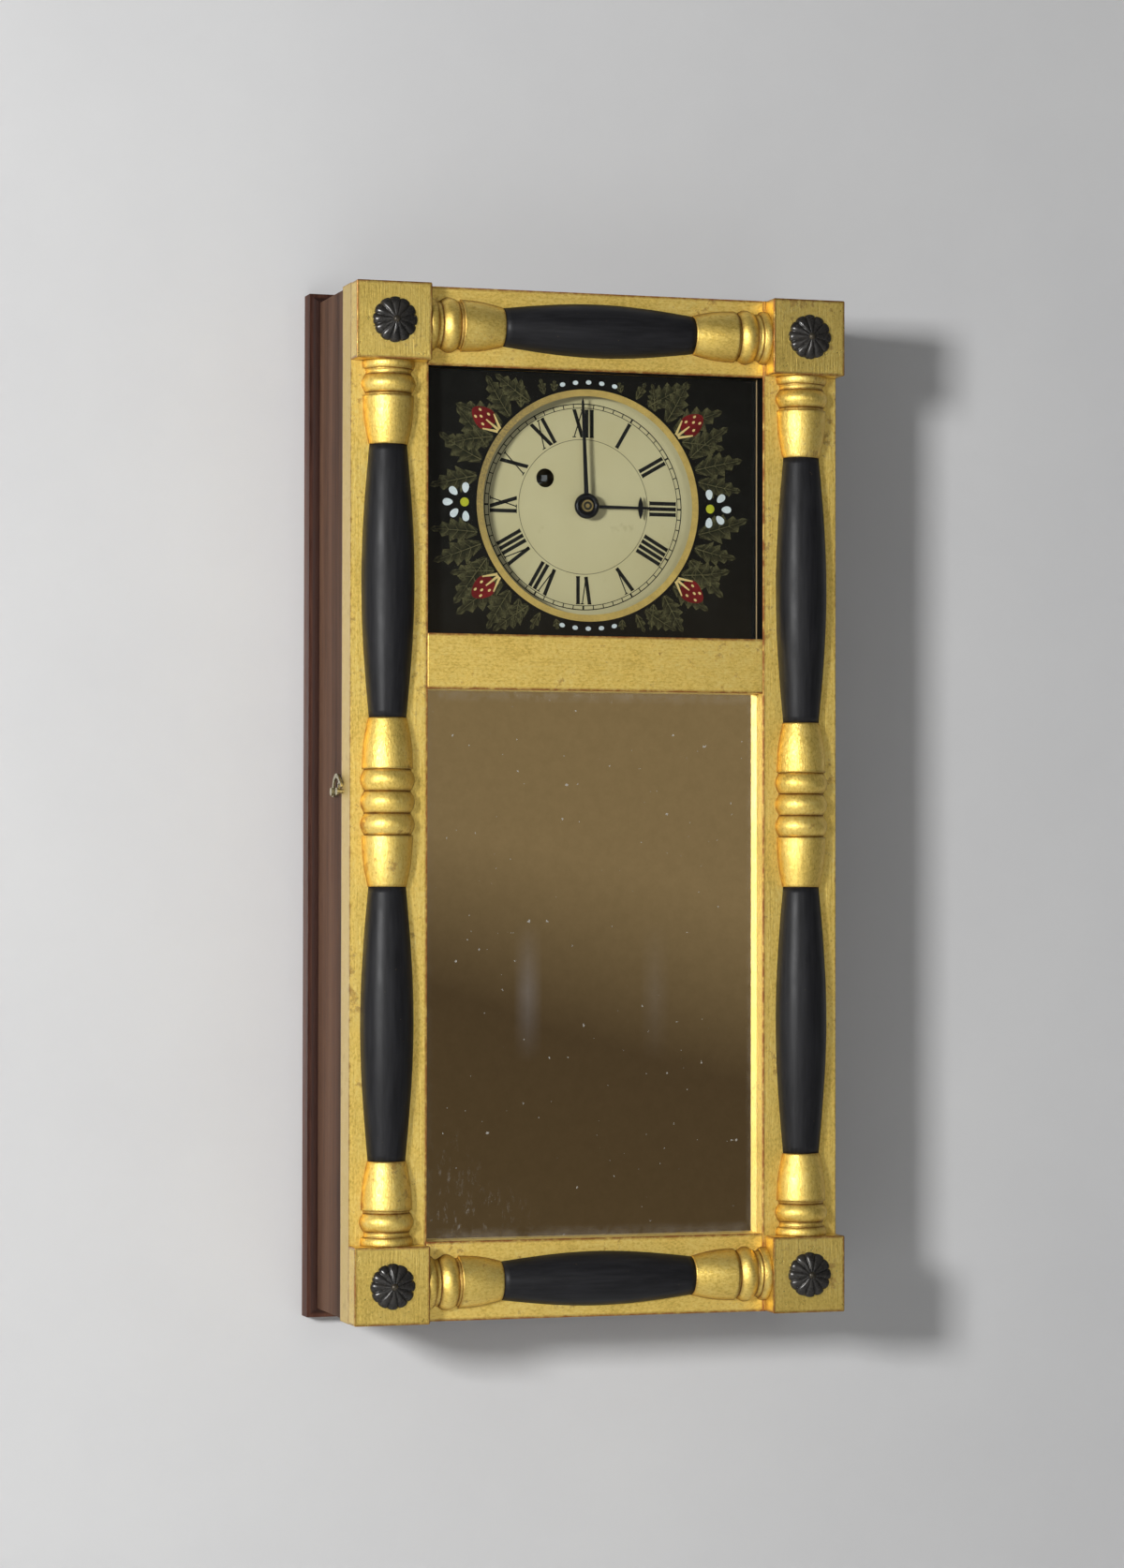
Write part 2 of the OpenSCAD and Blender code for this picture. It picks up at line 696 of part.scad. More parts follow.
module at_hinges() hung() for (side = [-1, 1]) translate([0, 0, side * hinge_z]) children();
module hinge_case_leaves() color(brass) at_hinges() hinge_leaf(case_front - leaf_t, [-1, 1]);
module hinge_door_leaves() color(brass) at_hinges() hinge_leaf(door_back, [0]);
module hinge_pins() color(steel) at_hinges() translate([hinge_x, hinge_y, -hinge_h / 2 - hinge_pin_over]) {
    cylinder(h = hinge_h + 2 * hinge_pin_over, r = hinge_pin_r);
    translate([0, 0, hinge_h + hinge_pin_over]) cylinder(h = hinge_pin_head, r = knuckle_r);
}

// Hook latch on the left side, turning on a screw in the case
latch_setback = 12.5;
latch_y = case_front + latch_setback;
latch_pin_y = latch_y - latch_reach;
latch_pivot_r = 1.5;
latch_pin_r = 1.6;
latch_t = 1.6;
latch_off = 1.2;
latch_x = -door_w / 2 - latch_off - latch_t;
latch_screw_l = 10;
latch_collar_r = 3;
latch_head_t = 1.4;
latch_play = 0.2;
latch_pin_l = 8;
latch_pin_over = 1;
latch_pin_head_r = 2.7;
latch_pin_head_t = 1.2;
latch_mouth = 0.5;
latch_band = 3.2;
latch_nose_r = 4.4;
latch_eye_r = 4;
latch_lip = 1.5;
module latch_pivot() color(brass) hung() {
    cross_bar(latch_y, latch_z, latch_x - latch_play, -case_w / 2 + latch_screw_l, latch_pivot_r);
    cross_bar(latch_y, latch_z, latch_x + latch_t + latch_play, -case_w / 2, latch_collar_r);
    cross_bar(latch_y, latch_z, latch_x - latch_play - latch_head_t, latch_x - latch_play, latch_collar_r);
}
module latch_pin() color(brass) hung() {
    head_x = latch_x - latch_pin_over;
    cross_bar(latch_pin_y, latch_z, head_x, -door_w / 2 + latch_pin_l, latch_pin_r);
    cross_bar(latch_pin_y, latch_z, head_x - latch_pin_head_t, head_x, latch_pin_head_r);
}
module latch_outline() difference() {
    union() {
        intersection() {
            translate([-latch_reach / 2, 0]) difference() {
                circle((latch_reach + latch_band) / 2);
                circle((latch_reach - latch_band) / 2);
            }
            translate([-2 * latch_reach, 0]) square([3 * latch_reach, latch_reach]);
        }
        intersection() {
            translate([-latch_reach, 0]) circle(latch_nose_r);
            translate([-2 * latch_reach, -latch_lip]) square(2 * latch_reach);
        }
        circle(latch_eye_r);
    }
    circle(latch_pivot_r + running_fit);
    translate([-latch_reach, 0]) circle(latch_pin_r + latch_mouth);
    translate([-latch_reach - latch_pin_r - latch_mouth, -latch_reach])
        square([2 * (latch_pin_r + latch_mouth), latch_reach]);
}
module latch_hook() color(brass) hung() translate([0, latch_y, latch_z]) rotate([-latch_lift, 0, 0])
    side_slab(latch_x, latch_t) latch_outline();

// Door frame: stiles of full height, rails tenoned between them, one rabbet round each glass
tenon_fit = 0.1;
tenon_inset = 8;
tenon_wall = 4;
tenon_y0 = door_front + tenon_wall;
// The rails: bottom and top edges
rails = [[tablet_top, door_h / 2], [mirror_top, tablet_bottom], [-door_h / 2, mirror_bottom]];
module pocket(z0, z1) box(
    [-sight_w / 2 - rabbet_lip, glass_front, z0 - rabbet_lip],
    [sight_w / 2 + rabbet_lip, door_back + 1, z1 + rabbet_lip]
);
module pockets() {
    pocket(tablet_bottom, tablet_top);
    pocket(mirror_bottom, mirror_top);
}
module tenon(rail, grow) box(
    [-sight_w / 2 - tenon_l - grow, tenon_y0 - grow, rail[0] + tenon_inset - grow],
    [sight_w / 2 + tenon_l + grow, tenon_y0 + tenon_t + grow, rail[1] - tenon_inset + grow]
);
module stile(side) difference() {
    x = side * (sight_w + stile_w) / 2;
    box([x - stile_w / 2, door_front, -door_h / 2], [x + stile_w / 2, door_back, door_h / 2]);
    pockets();
    for (rail = rails) tenon(rail, tenon_fit);
    if (side < 0) cross_bar(
        latch_pin_y, latch_z, -door_w / 2 - eps, -door_w / 2 + latch_pin_l, latch_pin_r + running_fit
    );
}
module rail_board(rail) difference() {
    union() {
        box([-sight_w / 2, door_front, rail[0]], [sight_w / 2, door_back, rail[1]]);
        tenon(rail, 0);
    }
    pockets();
}
module door_left_stile() color(gilt) hung() stile(-1);
module door_right_stile() color(gilt) hung() stile(1);
module door_top_rail() color(gilt) hung() rail_board(rails[0]);
module door_cross_rail() color(gilt) hung() rail_board(rails[1]);
module door_bottom_rail() color(gilt) hung() rail_board(rails[2]);

// Split columns: turned whole, then cut flat where they lie on the frame
module split_column(parts, l) intersection() {
    translate([0, axis_sunk, 0]) rotate_extrude() polygon(turning(parts));
    translate([-2 * bead_r, -2 * bead_r, 0]) cube([4 * bead_r, 2 * bead_r, l]);
}
column_inset = block_size / 2;
module upright_columns() color(gilt) hung() for (side = [-1, 1])
    translate([side * (door_w / 2 - column_inset), door_front, -upright_l / 2])
        split_column(upright_parts, upright_l);
module level_columns() color(gilt) hung() for (side = [-1, 1])
    translate([-level_l / 2, door_front, side * (door_h / 2 - column_inset)])
        rotate([0, 90, 0]) split_column(level_parts, level_l);

module at_corners() hung() for (x = [-1, 1], z = [-1, 1])
    translate([x * (door_w / 2 - column_inset), 0, z * (door_h / 2 - column_inset)]) children();
module corner_blocks() color(gilt) at_corners()
    slab(block_front, block_proud) square(block_size, center = true);

// Cast rosette: a shallow dome with a scalloped edge, radial flutes and a middle boss
lobe_r = rosette_r * sin(180 / rosette_lobes);
rosette_rim = 1.5;
rosette_rise = rosette_h - rosette_rim;
dome_r = (rosette_r * rosette_r + rosette_rise * rosette_rise) / (2 * rosette_rise);
flute_r = 1.1;
flute_start_share = 0.3;
flute_fall = 0.8;
flute_start = flute_start_share * rosette_r;
flute_angle = atan2(rosette_rise * flute_fall, rosette_r - flute_start);
module scalloped_disc() {
    circle(rosette_r - lobe_r);
    for (i = [0 : rosette_lobes - 1]) rotate(i * 360 / rosette_lobes)
        translate([rosette_r - lobe_r, 0]) circle(lobe_r);
}
module rosette() {
    difference() {
        intersection() {
            slab(-rosette_h, rosette_h) scalloped_disc();
            translate([0, dome_r - rosette_h, 0]) sphere(dome_r);
        }
        for (i = [0 : rosette_lobes - 1]) rotate([0, (i + 0.5) * 360 / rosette_lobes, 0])
            translate([flute_start, -rosette_h, 0]) rotate([0, 0, flute_angle]) rotate([0, 90, 0])
                cylinder(h = rosette_r, r = flute_r);
    }
    translate([0, -rosette_h, 0]) sphere(flute_start / 2);
}
module rosettes() color(iron) at_corners() translate([0, block_front, 0]) rosette();

// Glass
pane_gap = 0.5;
pane_w = sight_w + 2 * (rabbet_lip - pane_gap);
module pane(z0, z1, y, t) box(
    [-pane_w / 2, y, z0 - rabbet_lip + pane_gap], [pane_w / 2, y + t, z1 + rabbet_lip - pane_gap]
);
module tablet_glass() color(clear) hung()
    pane(tablet_bottom, tablet_top, glass_front, tablet_t);
module mirror_glass() color(silvered) hung()
    pane(mirror_bottom, mirror_top, glass_front, mirror_t);
module mirror_backing() color(pine) hung()
    pane(mirror_bottom, mirror_top, mirror_back, backing_t);
module glazing_strips() color(pine) hung() {
    z0 = tablet_bottom - rabbet_lip + pane_gap;
    z1 = tablet_top + rabbet_lip - pane_gap;
    for (side = [-1, 1]) {
        x = side * (pane_w - strip_w) / 2;
        box([x - strip_w / 2, tablet_back, z0], [x + strip_w / 2, tablet_back + strip_w, z1]);
        z = side < 0 ? z0 : z1 - strip_w;
        box(
            [strip_w + glue_gap - pane_w / 2, tablet_back, z],
            [pane_w / 2 - strip_w - glue_gap, tablet_back + strip_w, z + strip_w]
        );
    }
}

// Train
rim_depth = 4.5;
centre_hub_r = 6;
centre_spoke_w = 3;
third_hub_r = 5;
third_spoke_w = 2.5;
great_hub_r = 24;
great_spoke_w = 5;
minute_hub_r = 4;
minute_spoke_w = 2;
hour_hub_r = 6.5;
hour_spoke_w = 2.5;
module spokes(l, w) for (i = [0 : wheel_spokes - 1]) rotate((i + 0.5) * 360 / wheel_spokes)
    translate([0, -w / 2]) square([l, w]);
module wheel_blank(teeth, m, first, bore_r, hub_r, spoke_w) difference() {
    polygon(wheel_points(teeth, m, first, wheel_add, wheel_ded, wheel_thick));
    difference() {
        circle((teeth / 2 - rim_depth) * m);
        circle(hub_r);
        spokes(teeth * m, spoke_w);
    }
    if (bore_r > 0) circle(bore_r);
}
module pinion_shape(leaves, m, first, bore_r) difference() {
    polygon(wheel_points(leaves, m, first, leaf_add, leaf_ded, leaf_thick));
    if (bore_r > 0) circle(bore_r);
}
// A train arbor with its two pivots, its wheel and its pinion
module train_arbor(at, front_r, front_y) {
    bar(at, train_front + end_shake, train_back - end_shake, arbor_r);
    bar(at, train_back - end_shake - eps, back_plate_y, pivot_r);
    bar(at, front_y, train_front + end_shake + eps, front_r);
}
module layer(distance, t) slab(train_back - distance - t, t) children();

module centre_wheel() color(brass) at_dial() {
    train_arbor(centre_at, arbor_r, front_plate_y - cannon_layer);
    bar(centre_at, arbor_tip_y, front_plate_y, cannon_bore_r - press_fit);
    layer(centre_layer, wheel_t) wheel_blank(wheel_teeth, centre_m, 0, 0, centre_hub_r, centre_spoke_w);
    layer(great_layer - leaf_over / 2, great_t + leaf_over)
        pinion_shape(pinion_leaves, great_m, centre_pinion_first, 0);
}
module third_wheel() color(brass) at_dial() {
    train_arbor(third_at, pivot_r, front_plate_y);
    translate([third_at[0], 0, third_at[1]]) {
        layer(third_layer, wheel_t) wheel_blank(wheel_teeth, third_m, 0, 0, third_hub_r, third_spoke_w);
        layer(centre_layer - leaf_over, wheel_t + 2 * leaf_over)
            pinion_shape(pinion_leaves, centre_m, third_pinion_first, 0);
    }
}
escape_rim = 0.68;
escape_hub_r = 4.5;
escape_spoke_w = 2;
// Pointed escape teeth that lean against the direction of turning: share of the pitch, share of the radius
escape_tooth = [[0, 1], [0.12, 0.97], [0.5, 0.8], [0.85, 0.8]];
function escape_points() = [
    for (i = [0 : escape_teeth - 1])
    for (p = escape_tooth)
    let (a = 90 + 360 / escape_teeth * (i + p[0]))
    escape_r * p[1] * [cos(a), sin(a)]
];
module escape_wheel() color(brass) at_dial() {
    train_arbor(escape_at, pivot_r, front_plate_y);
    translate([escape_at[0], 0, escape_at[1]]) {
        layer(escape_layer, wheel_t) difference() {
            polygon(escape_points());
            difference() {
                circle(escape_r * escape_rim);
                circle(escape_hub_r);
                spokes(escape_r, escape_spoke_w);
            }
        }
        layer(third_layer - leaf_over, wheel_t + 2 * leaf_over)
            pinion_shape(pinion_leaves, third_m, escape_pinion_first, 0);
    }
}

// Great wheel, loose on the winding arbor, with its click
click_distance = 19;
click_angle = 200;
click_at = click_distance * [cos(click_angle), sin(click_angle)];
click_t = 1.8;
click_r = 2.6;
click_rivet_r = 1.25;
ratchet_r = 9.6;
// The click's beak: angle of its point, angle and thickness of its back, and its roots beside the rivet
beak_angle = 170;
beak_back_angle = 168;
beak_t = 2.4;
beak_roots = [[-1.8, 1.8], [2, 0]];
module great_wheel() color(brass) at_dial() translate([great_at[0], 0, great_at[1]])
    layer(great_layer, great_t) difference() {
        wheel_blank(great_teeth, great_m, 0, wind_arbor_r + running_fit, great_hub_r, great_spoke_w);
        translate(click_at) circle(click_rivet_r + running_fit);
    }
module click() color(steel) at_dial() translate([great_at[0], 0, great_at[1]]) {
    layer(great_layer, ratchet_layer + free_gap + click_t - great_layer)
        translate(click_at) circle(click_rivet_r);
    layer(ratchet_layer + free_gap, click_t) difference() {
        union() {
            translate(click_at) circle(click_r);
            polygon([
                click_at + beak_roots[0], click_at + beak_roots[1],
                (ratchet_r + free_gap) * [cos(beak_angle), sin(beak_angle)],
                (ratchet_r + free_gap + beak_t) * [cos(beak_back_angle), sin(beak_back_angle)]
            ]);
        }
        circle(ratchet_r + free_gap);
    }
}
module winding_arbor() color(steel) at_dial() {
    bar(great_at, train_front + end_shake, train_back - end_shake, wind_arbor_r);
    bar(great_at, train_back - end_shake - eps, back_plate_y, arbor_r);
    bar(great_at, front_plate_y - wind_shoulder, train_front + end_shake + eps, wind_arbor_r);
    slab(dial_back + wind_setback, motion_gap - wind_setback - wind_shoulder + eps)
        translate(great_at) square(wind_square, center = true);
}
ratchet_teeth = 18;
// Saw teeth: share of the pitch, share of the radius
ratchet_tooth = [[0, 1], [0.12, 0.84]];
function ratchet_points() = [
    for (i = [0 : ratchet_teeth - 1])
    for (p = ratchet_tooth)
    let (a = 360 / ratchet_teeth * (i + p[0]))
    ratchet_r * p[1] * [cos(a), sin(a)]
];
drum_flange_t = 1.5;
drum_flange_over = 0.9;
module winding_drum() color(brass) at_dial() translate([great_at[0], 0, great_at[1]]) {
    layer(ratchet_layer + free_gap, ratchet_t) difference() {
        polygon(ratchet_points());
        circle(wind_arbor_r + press_fit);
    }
    layer(drum_layer, drum_l) difference() {
        circle(drum_line_r - cord_r - running_fit);
        circle(wind_arbor_r + press_fit);
    }
    for (d = [drum_layer, drum_layer + drum_l - drum_flange_t]) layer(d, drum_flange_t) difference() {
        circle(drum_line_r + cord_r + drum_flange_over);
        circle(wind_arbor_r + press_fit);
    }
}

// Motion work and hands
minute_pinion_over = 1;
hour_pipe_over = 0.6;
module fore(distance, t) slab(front_plate_y - distance - t, t) children();
module cannon_pinion() color(brass) at_dial() {
    fore(cannon_layer + press_fit, cannon_l) pinion_shape(cannon_leaves, minute_m, 0, cannon_bore_r);
    difference() {
        bar(centre_at, minute_hand_y - collet_l, front_plate_y - cannon_layer - press_fit, cannon_r);
        bar(centre_at, minute_hand_y - 2 * collet_l, front_plate_y, cannon_bore_r);
    }
}
module minute_wheel() color(brass) at_dial() translate([minute_at[0], 0, minute_at[1]]) {
    fore(minute_layer, wheel_t) wheel_blank(
        minute_teeth, minute_m, minute_wheel_first, stud_r + running_fit, minute_hub_r, minute_spoke_w
    );
    fore(minute_layer + wheel_t - eps, hour_layer - minute_layer + minute_pinion_over)
        pinion_shape(cannon_leaves, hour_m, minute_pinion_first, stud_r + running_fit);
}
module hour_wheel() color(brass) at_dial() {
    fore(hour_layer, wheel_t) wheel_blank(
        hour_teeth, hour_m, hour_wheel_first, cannon_r + running_fit, hour_hub_r, hour_spoke_w
    );
    difference() {
        bar(centre_at, hour_hand_y - hour_pipe_over, front_plate_y - hour_layer - wheel_t + eps, hour_pipe_r);
        bar(centre_at, hour_hand_y - 2 * hour_pipe_over, front_plate_y, cannon_r + running_fit);
    }
}
// A slim tapering hand along +Z, from its boss to its point
hand_point = 3;
module hand_blade(l, w0, w1) polygon([
    [-w0 / 2, 0], [-w1 / 2, l - hand_point], [0, l], [w1 / 2, l - hand_point], [w0 / 2, 0]
]);
minute_root_w = 3.6;
minute_tip_w = 1.8;
hour_root_w = 2.6;
hour_tip_w = 1.6;
boss_roll_r = 2;
boss_roll_inset = 2.2;
module minute_hand() color(blued) at_dial() {
    slab(minute_hand_y, hand_t) difference() {
        union() {
            circle(boss_r);
            rotate(-minute_angle) hand_blade(minute_l, minute_root_w, minute_tip_w);
        }
        circle(cannon_r + press_fit);
    }
    translate([0, minute_hand_y + eps, 0]) rotate([90, 0, 0]) rotate_extrude()
        translate([boss_r - boss_roll_inset, 0]) intersection() {
            circle(boss_roll_r);
            translate([-boss_r, 0]) square(2 * boss_r);
        }
}
hour_bar_l = 16.5;
hour_bar_w = 3.7;
hour_bar_at = 43;
hour_boss_r = 7;
hour_arc_r = (hour_bar_l * hour_bar_l + hour_bar_w * hour_bar_w) / (4 * hour_bar_w);
module hour_bar() intersection() {
    translate([0, hour_bar_at + hour_arc_r - hour_bar_w / 2]) circle(hour_arc_r);
    translate([0, hour_bar_at + hour_bar_w / 2 - hour_arc_r]) circle(hour_arc_r);
}
module hour_hand() color(blued) at_dial() rotate([0, hour_angle, 0]) difference() {
    union() {
        slab(hour_hand_y, hand_t) circle(hour_boss_r);
        slab(hour_hand_y, hand_t) hand_blade(hour_l, hour_root_w, hour_tip_w);
        slab(hour_hand_y, hand_t) hour_bar();
    }
    bar(centre_at, hour_hand_y - 1, hour_hand_y + hand_t + 1, hour_pipe_r + press_fit);
}
module hand_collet() color(brass) at_dial()
    slab(minute_hand_y - collet_l, collet_l - press_fit) difference() {
        circle(collet_r);
        circle(cannon_r + press_fit);
    }

// Escapement and pendulum
pallet_open = 1.1;
pallet_t = 4;
pallet_hub_r = 4.5;
pallet_arm = 15.5;
pallet_inner = 9.5;
pallet_sag = 5.5;
pallet_reach = escape_r + pallet_open;
pallet_outer_angle = 49;
pallet_inner_angle = 42;
crutch_drop = 62;
crutch_behind = 4;
crutch_y = back_plate_y + crutch_behind;
crutch_r = 1.1;
crutch_hub_r = 3;
crutch_hub_t = 2.4;
crutch_root = 2;
fork_wall = 1.3;
module pallets() color(steel) at_dial() {
    train_arbor(pallet_at, pivot_r, front_plate_y);
    bar(pallet_at, back_plate_y - eps, crutch_y + crutch_hub_t, pivot_r);
    layer(escape_layer - (pallet_t - wheel_t) / 2, pallet_t) difference() {
        union() {
            translate(pallet_at) circle(pallet_hub_r);
            for (side = [-1, 1]) polygon([
                pallet_at + [0, pallet_hub_r], pallet_at + [side * pallet_arm, -pallet_sag],
                escape_at + pallet_reach * [side * sin(pallet_outer_angle), cos(pallet_outer_angle)],
                escape_at + pallet_reach * [side * sin(pallet_inner_angle), cos(pallet_inner_angle)],
                pallet_at + [side * pallet_inner, -pallet_sag], pallet_at + [0, -pallet_hub_r]
            ]);
        }
        translate(escape_at) circle(pallet_reach);
        translate(pallet_at) circle(arbor_r - eps);
    }
}
module crutch() color(steel) at_dial() difference() {
    union() {
        bar(pallet_at, crutch_y - crutch_hub_t / 2, crutch_y + crutch_hub_t / 2, crutch_hub_r);
        translate([0, crutch_y, pallet_at[1] - crutch_drop])
            cylinder(h = crutch_drop - crutch_root, r = crutch_r);
        translate([0, 0, pallet_at[1] - crutch_drop]) box(
            [-rod_r - free_gap - fork_wall, crutch_y - crutch_r, -2 * fork_wall],
            [rod_r + free_gap + fork_wall, pendulum_y + 2 * rod_r + fork_wall, 0]
        );
    }
    bar(pallet_at, crutch_y - crutch_hub_t, crutch_y + crutch_hub_t, pivot_r + press_fit);
    translate([0, 0, pallet_at[1] - crutch_drop]) box(
        [-rod_r - free_gap, pendulum_y - rod_r - 2 * free_gap, -3 * fork_wall],
        [rod_r + free_gap, pendulum_y + 2 * rod_r, 1]
    );
}
spring_l = 24;
spring_top = 2;
chop_h = 10;
chop_w = 4.8;
chop_wall = 1;
module suspension_spring() color(steel) at_dial() translate([0, pendulum_y, pallet_at[1]]) box(
    [-spring_t / 2, -spring_w / 2, -spring_l], [spring_t / 2, spring_w / 2, spring_top]
);
bob_z = bob_rise - inner_h / 2 - dial_z;
pendulum_l = pallet_at[1] - bob_z;
thread_l = 16;
module pendulum_rod() color(steel) at_dial() translate([0, pendulum_y, 0]) {
    translate([0, 0, bob_z - bob_r - thread_l])
        cylinder(h = pendulum_l + bob_r + thread_l - spring_l - free_gap, r = rod_r);
    translate([0, 0, pallet_at[1] - spring_l]) difference() {
        box(
            [-chop_w / 2, -spring_w / 2 - chop_wall, -chop_h / 2],
            [chop_w / 2, spring_w / 2 + chop_wall, chop_h / 2]
        );
        box(
            [-spring_t / 2 - press_fit, -spring_w / 2 - press_fit, 0],
            [spring_t / 2 + press_fit, spring_w / 2 + press_fit, chop_h]
        );
    }
}
lens_fn = 360;
lens_r = (bob_r * bob_r + bob_t * bob_t / 4) / bob_t;
module pendulum_bob() color(brass) at_dial() translate([0, pendulum_y, bob_z]) difference() {
    rotate([90, 0, 0]) rotate_extrude() intersection() {
        translate([0, lens_r - bob_t / 2]) circle(lens_r, $fn = lens_fn);
        translate([0, bob_t / 2 - lens_r]) circle(lens_r, $fn = lens_fn);
        translate([0, -bob_t]) square([bob_r, 2 * bob_t]);
    }
    translate([0, 0, -2 * bob_r]) cylinder(h = 4 * bob_r, r = rod_r + running_fit);
}
nut_r = 6;
nut_h = 5;
module rating_nut() color(brass) at_dial() translate([0, pendulum_y, bob_z - bob_r - nut_h])
    difference() {
        cylinder(h = nut_h, r = nut_r);
        translate([0, 0, -1]) cylinder(h = nut_h + 2, r = rod_r + running_fit);
    }

case_left_side();
case_right_side();
case_top();
case_bottom();
back_board();
back_moulding();
dial_cleats();
dial_plate();
dial_screws();
movement_posts();
back_plate();
front_plate();
plate_pillars();
plate_nuts();
suspension_block();
pulley_bracket();
cord_hook();
weight_cord();
hinge_case_leaves();
hinge_pins();
latch_pivot();
door_left_stile();
door_right_stile();
door_top_rail();
door_cross_rail();
door_bottom_rail();
upright_columns();
level_columns();
corner_blocks();
rosettes();
tablet_glass();
mirror_glass();
mirror_backing();
glazing_strips();
hinge_door_leaves();
latch_pin();
latch_hook();
great_wheel();
click();
winding_arbor();
winding_drum();
centre_wheel();
cannon_pinion();
minute_hand();
hand_collet();
hour_wheel();
hour_hand();
minute_wheel();
third_wheel();
escape_wheel();
pallets();
crutch();
suspension_spring();
pendulum_rod();
pendulum_bob();
rating_nut();
weight();
weight_stirrup();
weight_pulley();
top_pulley();
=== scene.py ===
import json
import random
from functools import partialmethod
from math import acos, atan2, cos, hypot, inf, pi, radians, sin, sqrt, tau

import bpy
from mathutils import Matrix, Vector


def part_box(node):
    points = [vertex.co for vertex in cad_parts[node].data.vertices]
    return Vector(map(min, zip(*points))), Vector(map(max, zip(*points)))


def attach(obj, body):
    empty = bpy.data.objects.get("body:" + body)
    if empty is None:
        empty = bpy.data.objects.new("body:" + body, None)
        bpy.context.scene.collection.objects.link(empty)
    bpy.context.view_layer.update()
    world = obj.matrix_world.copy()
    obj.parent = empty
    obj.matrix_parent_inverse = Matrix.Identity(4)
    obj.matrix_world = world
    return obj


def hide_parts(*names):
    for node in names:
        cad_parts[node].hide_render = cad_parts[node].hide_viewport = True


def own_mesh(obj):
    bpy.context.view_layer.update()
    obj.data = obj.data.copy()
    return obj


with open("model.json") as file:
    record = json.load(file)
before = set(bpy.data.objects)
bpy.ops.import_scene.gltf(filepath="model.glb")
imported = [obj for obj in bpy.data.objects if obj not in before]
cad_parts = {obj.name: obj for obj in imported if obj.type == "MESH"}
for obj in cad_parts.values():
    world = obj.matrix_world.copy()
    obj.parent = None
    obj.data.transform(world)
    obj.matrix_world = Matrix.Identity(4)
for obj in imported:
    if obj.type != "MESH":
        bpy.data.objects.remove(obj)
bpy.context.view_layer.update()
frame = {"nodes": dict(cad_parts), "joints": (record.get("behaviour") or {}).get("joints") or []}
NODES = frame["nodes"]
JOINTS = {joint["name"]: joint for joint in frame["joints"]}
SCENE = bpy.context.scene
MM = 0.001

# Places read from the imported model, in metres
SIGHT_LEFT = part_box("door_left_stile")[1].x
SIGHT_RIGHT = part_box("door_right_stile")[0].x
TABLET_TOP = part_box("door_top_rail")[0].z
TABLET_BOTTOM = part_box("door_cross_rail")[1].z
MIRROR_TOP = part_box("door_cross_rail")[0].z
MIRROR_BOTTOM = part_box("door_bottom_rail")[1].z
DOOR_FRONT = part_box("door_left_stile")[0].y
DOOR_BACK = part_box("door_left_stile")[1].y
BLOCK_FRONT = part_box("corner_blocks")[0].y
TABLET_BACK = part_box("tablet_glass")[1].y
DIAL_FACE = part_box("dial_plate")[0].y
MOULDING_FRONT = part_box("back_moulding")[0].y
DIAL_X, _, DIAL_Z = JOINTS["minute_turn"]["pos_m"]
DOOR_LOW, DOOR_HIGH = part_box("corner_blocks")
DOOR_Z = (DOOR_LOW.z + DOOR_HIGH.z) / 2


def polar(radius, angle):
    return (radius * cos(angle), radius * sin(angle))


